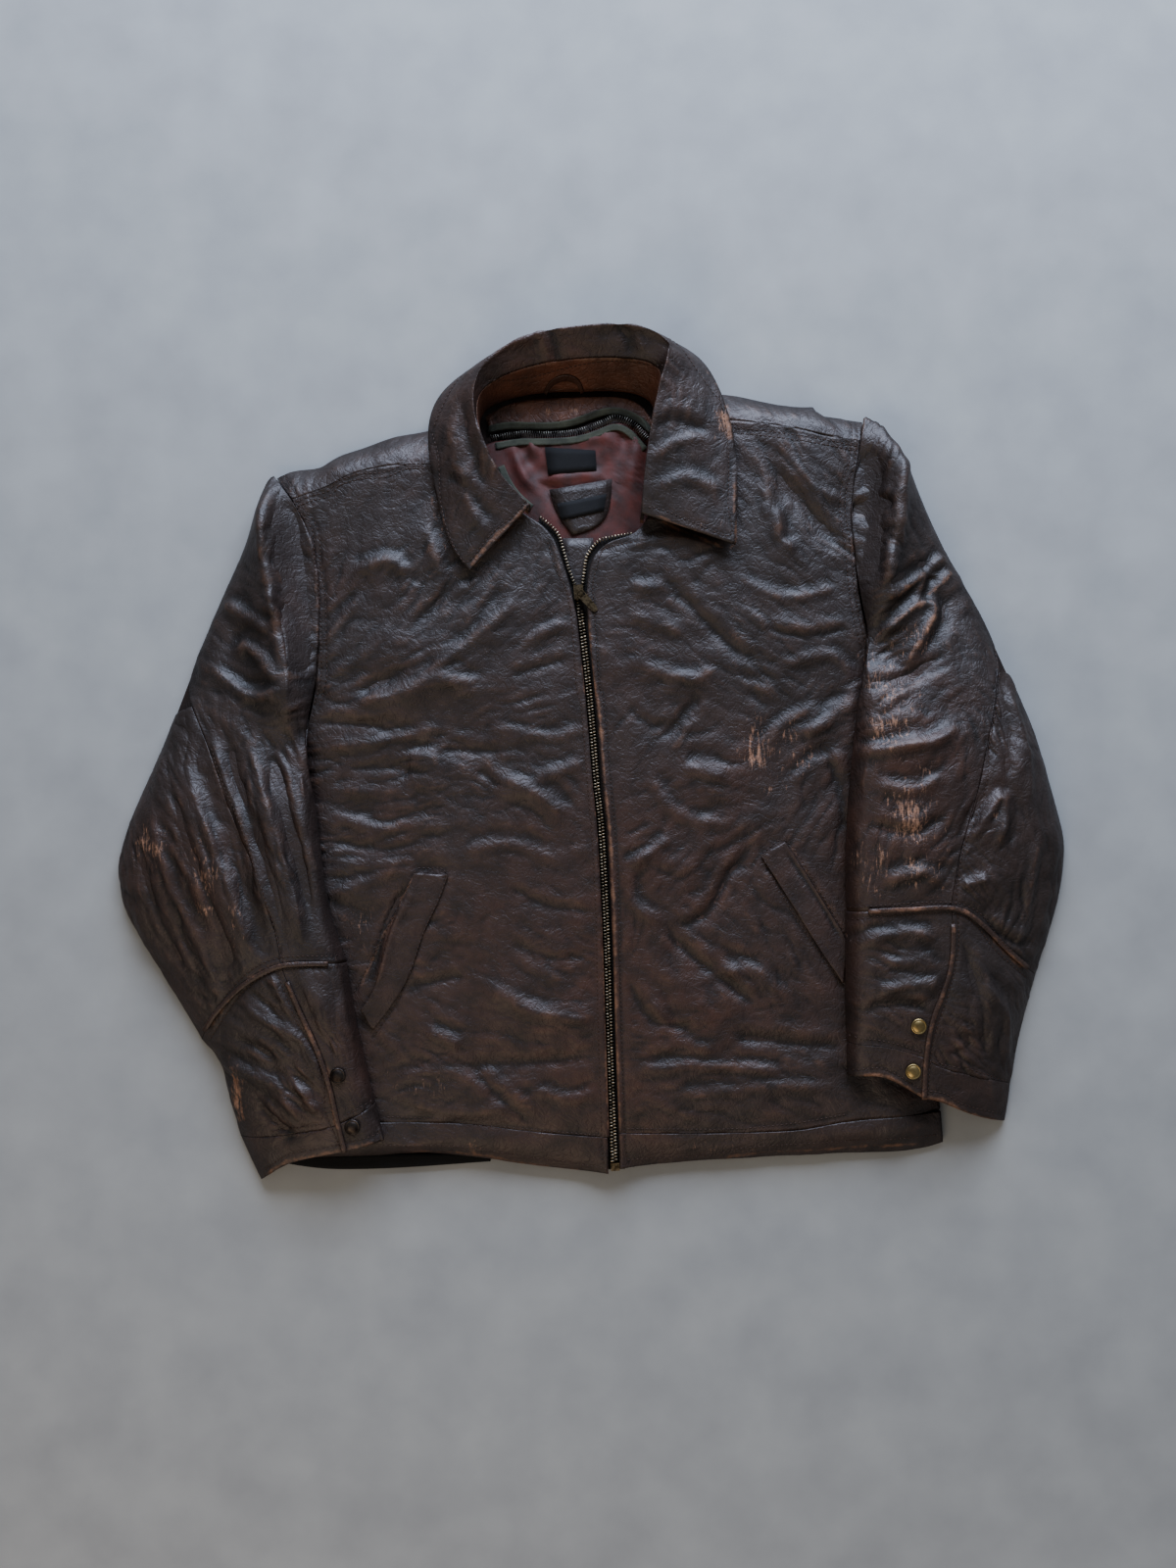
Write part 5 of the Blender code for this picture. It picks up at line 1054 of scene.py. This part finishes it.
def stitches(name, tree, lines, pitch=4.1):
    """Rows of stitches laid on the leather."""
    places = []
    for z, points, offsets in lines:
        line = smooth_line(laid(points, z), pitch)
        for off in offsets:
            row = beside(line, off)
            for a, b in zip(row, row[1:]):
                middle = 0.5 * (a + b)
                hit, normal = top_at(tree, *middle)
                if hit is None or normal.z < 0.25:
                    continue
                places.append((np.array(hit) + 0.12 * np.array(normal), (*(b - a), 0), np.array(normal)))
    piece = repeat(name, stitch_shape(), places)
    piece.data.materials.append(THREAD)
    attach(piece, "jacket")
    return piece


# The zips' lines, in millimetres: the closed part, the two open ends above it, and the liner's own.
ZIP_LINE = [(-11, 147), (-8, 117), (-4, 82), (1, 29), (5, -24), (9, -59), (12, -112), (15, -183), (17, -254),
            (20, -334), (21, -366)]
RIGHT_OPEN = [(-46, 218), (-37, 211), (-30, 203), (-26, 191), (-22, 177), (-18, 165), (-14, 155)]
LEFT_OPEN = [(38, 203.5), (28, 202), (17, 200), (7, 197), (1, 190), (-4, 182), (-6, 169), (-8, 156)]
TABLE_MIDDLE = np.array([0.05, 2.95])  # the zip's line is in the part's own tables, before its centring
TOOTH_PITCH = 2.9
LINER_ZIP = [(-91, 292), (-70, 296), (-42, 295), (-14, 297), (7, 304), (22, 310), (38, 304), (52, 289)]
LINER_PITCH = 2.1
CAP_RADIUS = 7.0
CAP_FOOT = 1.2
# The rings of a snap cap from its rim inwards: how wide each is, and how far it rises.
CAP_RINGS = ((0.9, 0.55), (0.7, -0.35), (0.6, 0.35), (1.3, 0.55), (1.6, 0.3))


def zip_teeth():
    """The main zip's two rows. Below the slider they mesh, tooth between tooth."""
    for side, opening, sign in (("right", RIGHT_OPEN, 1), ("left", LEFT_OPEN, -1)):
        node = side + "_zip_teeth"
        closed = [(x - sign * 1.6, y) for x, y in ZIP_LINE]
        line = smooth_line(np.array([*opening, *closed]) - TABLE_MIDDLE, TOOTH_PITCH / 2)
        row = line[0 if side == "right" else 1::2]
        ahead = np.gradient(row, axis=0)
        tree = tree_of([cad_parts[node]])
        places = []
        for (x, y), way in zip(row, ahead):
            hit, _ = top_at(tree, x, y)
            if hit is not None:
                places.append(((x, y, hit.z - 1.25), (*way, 0), (0, 0, 1)))
        piece = repeat(side + "_teeth", tooth_shape(1.55, 3.5, 2.5, 0.4), places)
        finish_piece(piece, node, BRASS_TEETH)


def liner_teeth():
    """The coil of the liner's zip, across the back of the neck."""
    tree = tree_of([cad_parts["liner_zip_teeth"]])
    line = smooth_line(np.array(LINER_ZIP) - TABLE_MIDDLE, LINER_PITCH)
    places = []
    for (x, y), way in zip(line, np.gradient(line, axis=0)):
        hit, _ = top_at(tree, x, y)
        if hit is not None:
            places.append(((x, y, hit.z - 0.9), (*way, 0), (0, 0, 1)))
    piece = repeat("liner_teeth", tooth_shape(1.25, 6.2, 2.0, 0.4), places)
    finish_piece(piece, "liner_zip_teeth", COIL)


def snap_caps():
    """Domed snap caps with a rolled rim."""
    for side, material, slot in (("right", SNAP_DARK, "snap_dark"), ("left", SNAP_BRASS, "brass_old")):
        for number in (1, 2):
            node = f"{side}_snap_{number}"
            low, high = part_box(node)
            middle = (low + high) / 2
            clear_selection()
            bpy.ops.mesh.primitive_cylinder_add(vertices=40, radius=CAP_RADIUS * MM, depth=CAP_FOOT * MM,
                                                location=(middle.x, middle.y, low.z + CAP_FOOT / 2 * MM))
            piece = bpy.context.object
            piece.name = node + "_cap"
            bpy.ops.object.transform_apply(location=True, rotation=True, scale=True)
            bpy.ops.object.mode_set(mode="EDIT")
            shape = bmesh.from_edit_mesh(piece.data)
            top = max(shape.faces, key=lambda f: f.calc_center_median().z)
            for face in shape.faces:
                face.select = face is top
            for width, rise in CAP_RINGS:
                bpy.ops.mesh.inset(thickness=width * MM)
                bpy.ops.transform.translate(value=(0, 0, rise * MM))
            bpy.ops.object.mode_set(mode="OBJECT")
            mod = piece.modifiers.new("edges", "BEVEL")
            mod.width = 0.25 * MM
            mod.segments = 2
            mod.limit_method = "ANGLE"
            bpy.ops.object.modifier_apply(modifier=mod.name)
            piece.data.shade_smooth()
            finish_piece(piece, node, material)


def hardware():
    """The solids that are shown as they are: the slider, its tab and the zip's box."""
    for node in ("zip_slider", "pull_tab", "zip_box"):
        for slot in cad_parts[node].material_slots:
            slot.material = BRASS


# The room

def ground():
    """The pale plaster floor."""
    clear_selection()
    bpy.ops.mesh.primitive_plane_add(size=12, location=(0, 0, 0))
    floor = bpy.context.object
    floor.name = "ground"
    # Trowelled plaster: a pale matt grey with faint clouds.
    made, add = new_material("plaster_pale")
    cloudy = add("TexNoise", {"Vector": add("TexCoord"), "Scale": per_mm(60), "Detail": 8.0})
    tone = add("ValToRGB", {0: cloudy}, [(0.3, linear("#878887")), (0.7, linear("#929391"))])
    shader = add("BsdfPrincipled", {"Base Color": tone, "Roughness": 0.8})
    add("OutputMaterial", {"Surface": shader})
    floor.data.materials.append(made)


def lamp(name, place, size, power, colour, target=(0, 0, 0)):
    """A soft rectangular light that faces the target."""
    data = bpy.data.lights.new(name, "AREA")
    data.shape = "RECTANGLE"
    data.size, data.size_y = size
    data.energy = power
    data.color = linear(colour)[:3]
    made = bpy.data.objects.new(name, data)
    made.location = place
    made.rotation_euler = (Vector(target) - Vector(place)).to_track_quat("-Z", "Y").to_euler()
    bpy.context.scene.collection.objects.link(made)


def light_and_camera():
    """A cool window past the collar, a warm weak fill at the hem, and the camera straight above."""
    world = bpy.data.worlds.new("room")
    bpy.context.scene.world = world
    world.use_nodes = True
    world.node_tree.nodes["Background"].inputs[0].default_value = linear("#d3d7dc")
    world.node_tree.nodes["Background"].inputs[1].default_value = 0.33
    lamp("window", (0.2, 1.85, 1.1), (1.9, 1.2), 84, "#d9e6ff")
    lamp("room_fill", (-0.8, -1.9, 1.7), (2.2, 1.8), 20, "#ffe6c8")
    data = bpy.data.cameras.new("camera")
    data.lens = 33.75
    data.sensor_width = 36
    data.clip_start = 0.01
    camera = bpy.data.objects.new("camera", data)
    camera.location = [c * MM for c in EYE]
    bpy.context.scene.collection.objects.link(camera)
    bpy.context.scene.camera = camera
    bpy.context.scene.view_settings.view_transform = "AgX"
    bpy.context.scene.view_settings.look = "AgX - Medium High Contrast"
    bpy.context.scene.view_settings.exposure = 0.3


def main():
    made = build_cloth()
    build_liner(made)
    tree = tree_of(made.values())
    for area_name, lines in STITCHED.items():
        stitches(area_name + "_stitches", tree, lines)
    zip_teeth()
    liner_teeth()
    snap_caps()
    hardware()
    ground()
    light_and_camera()


main()
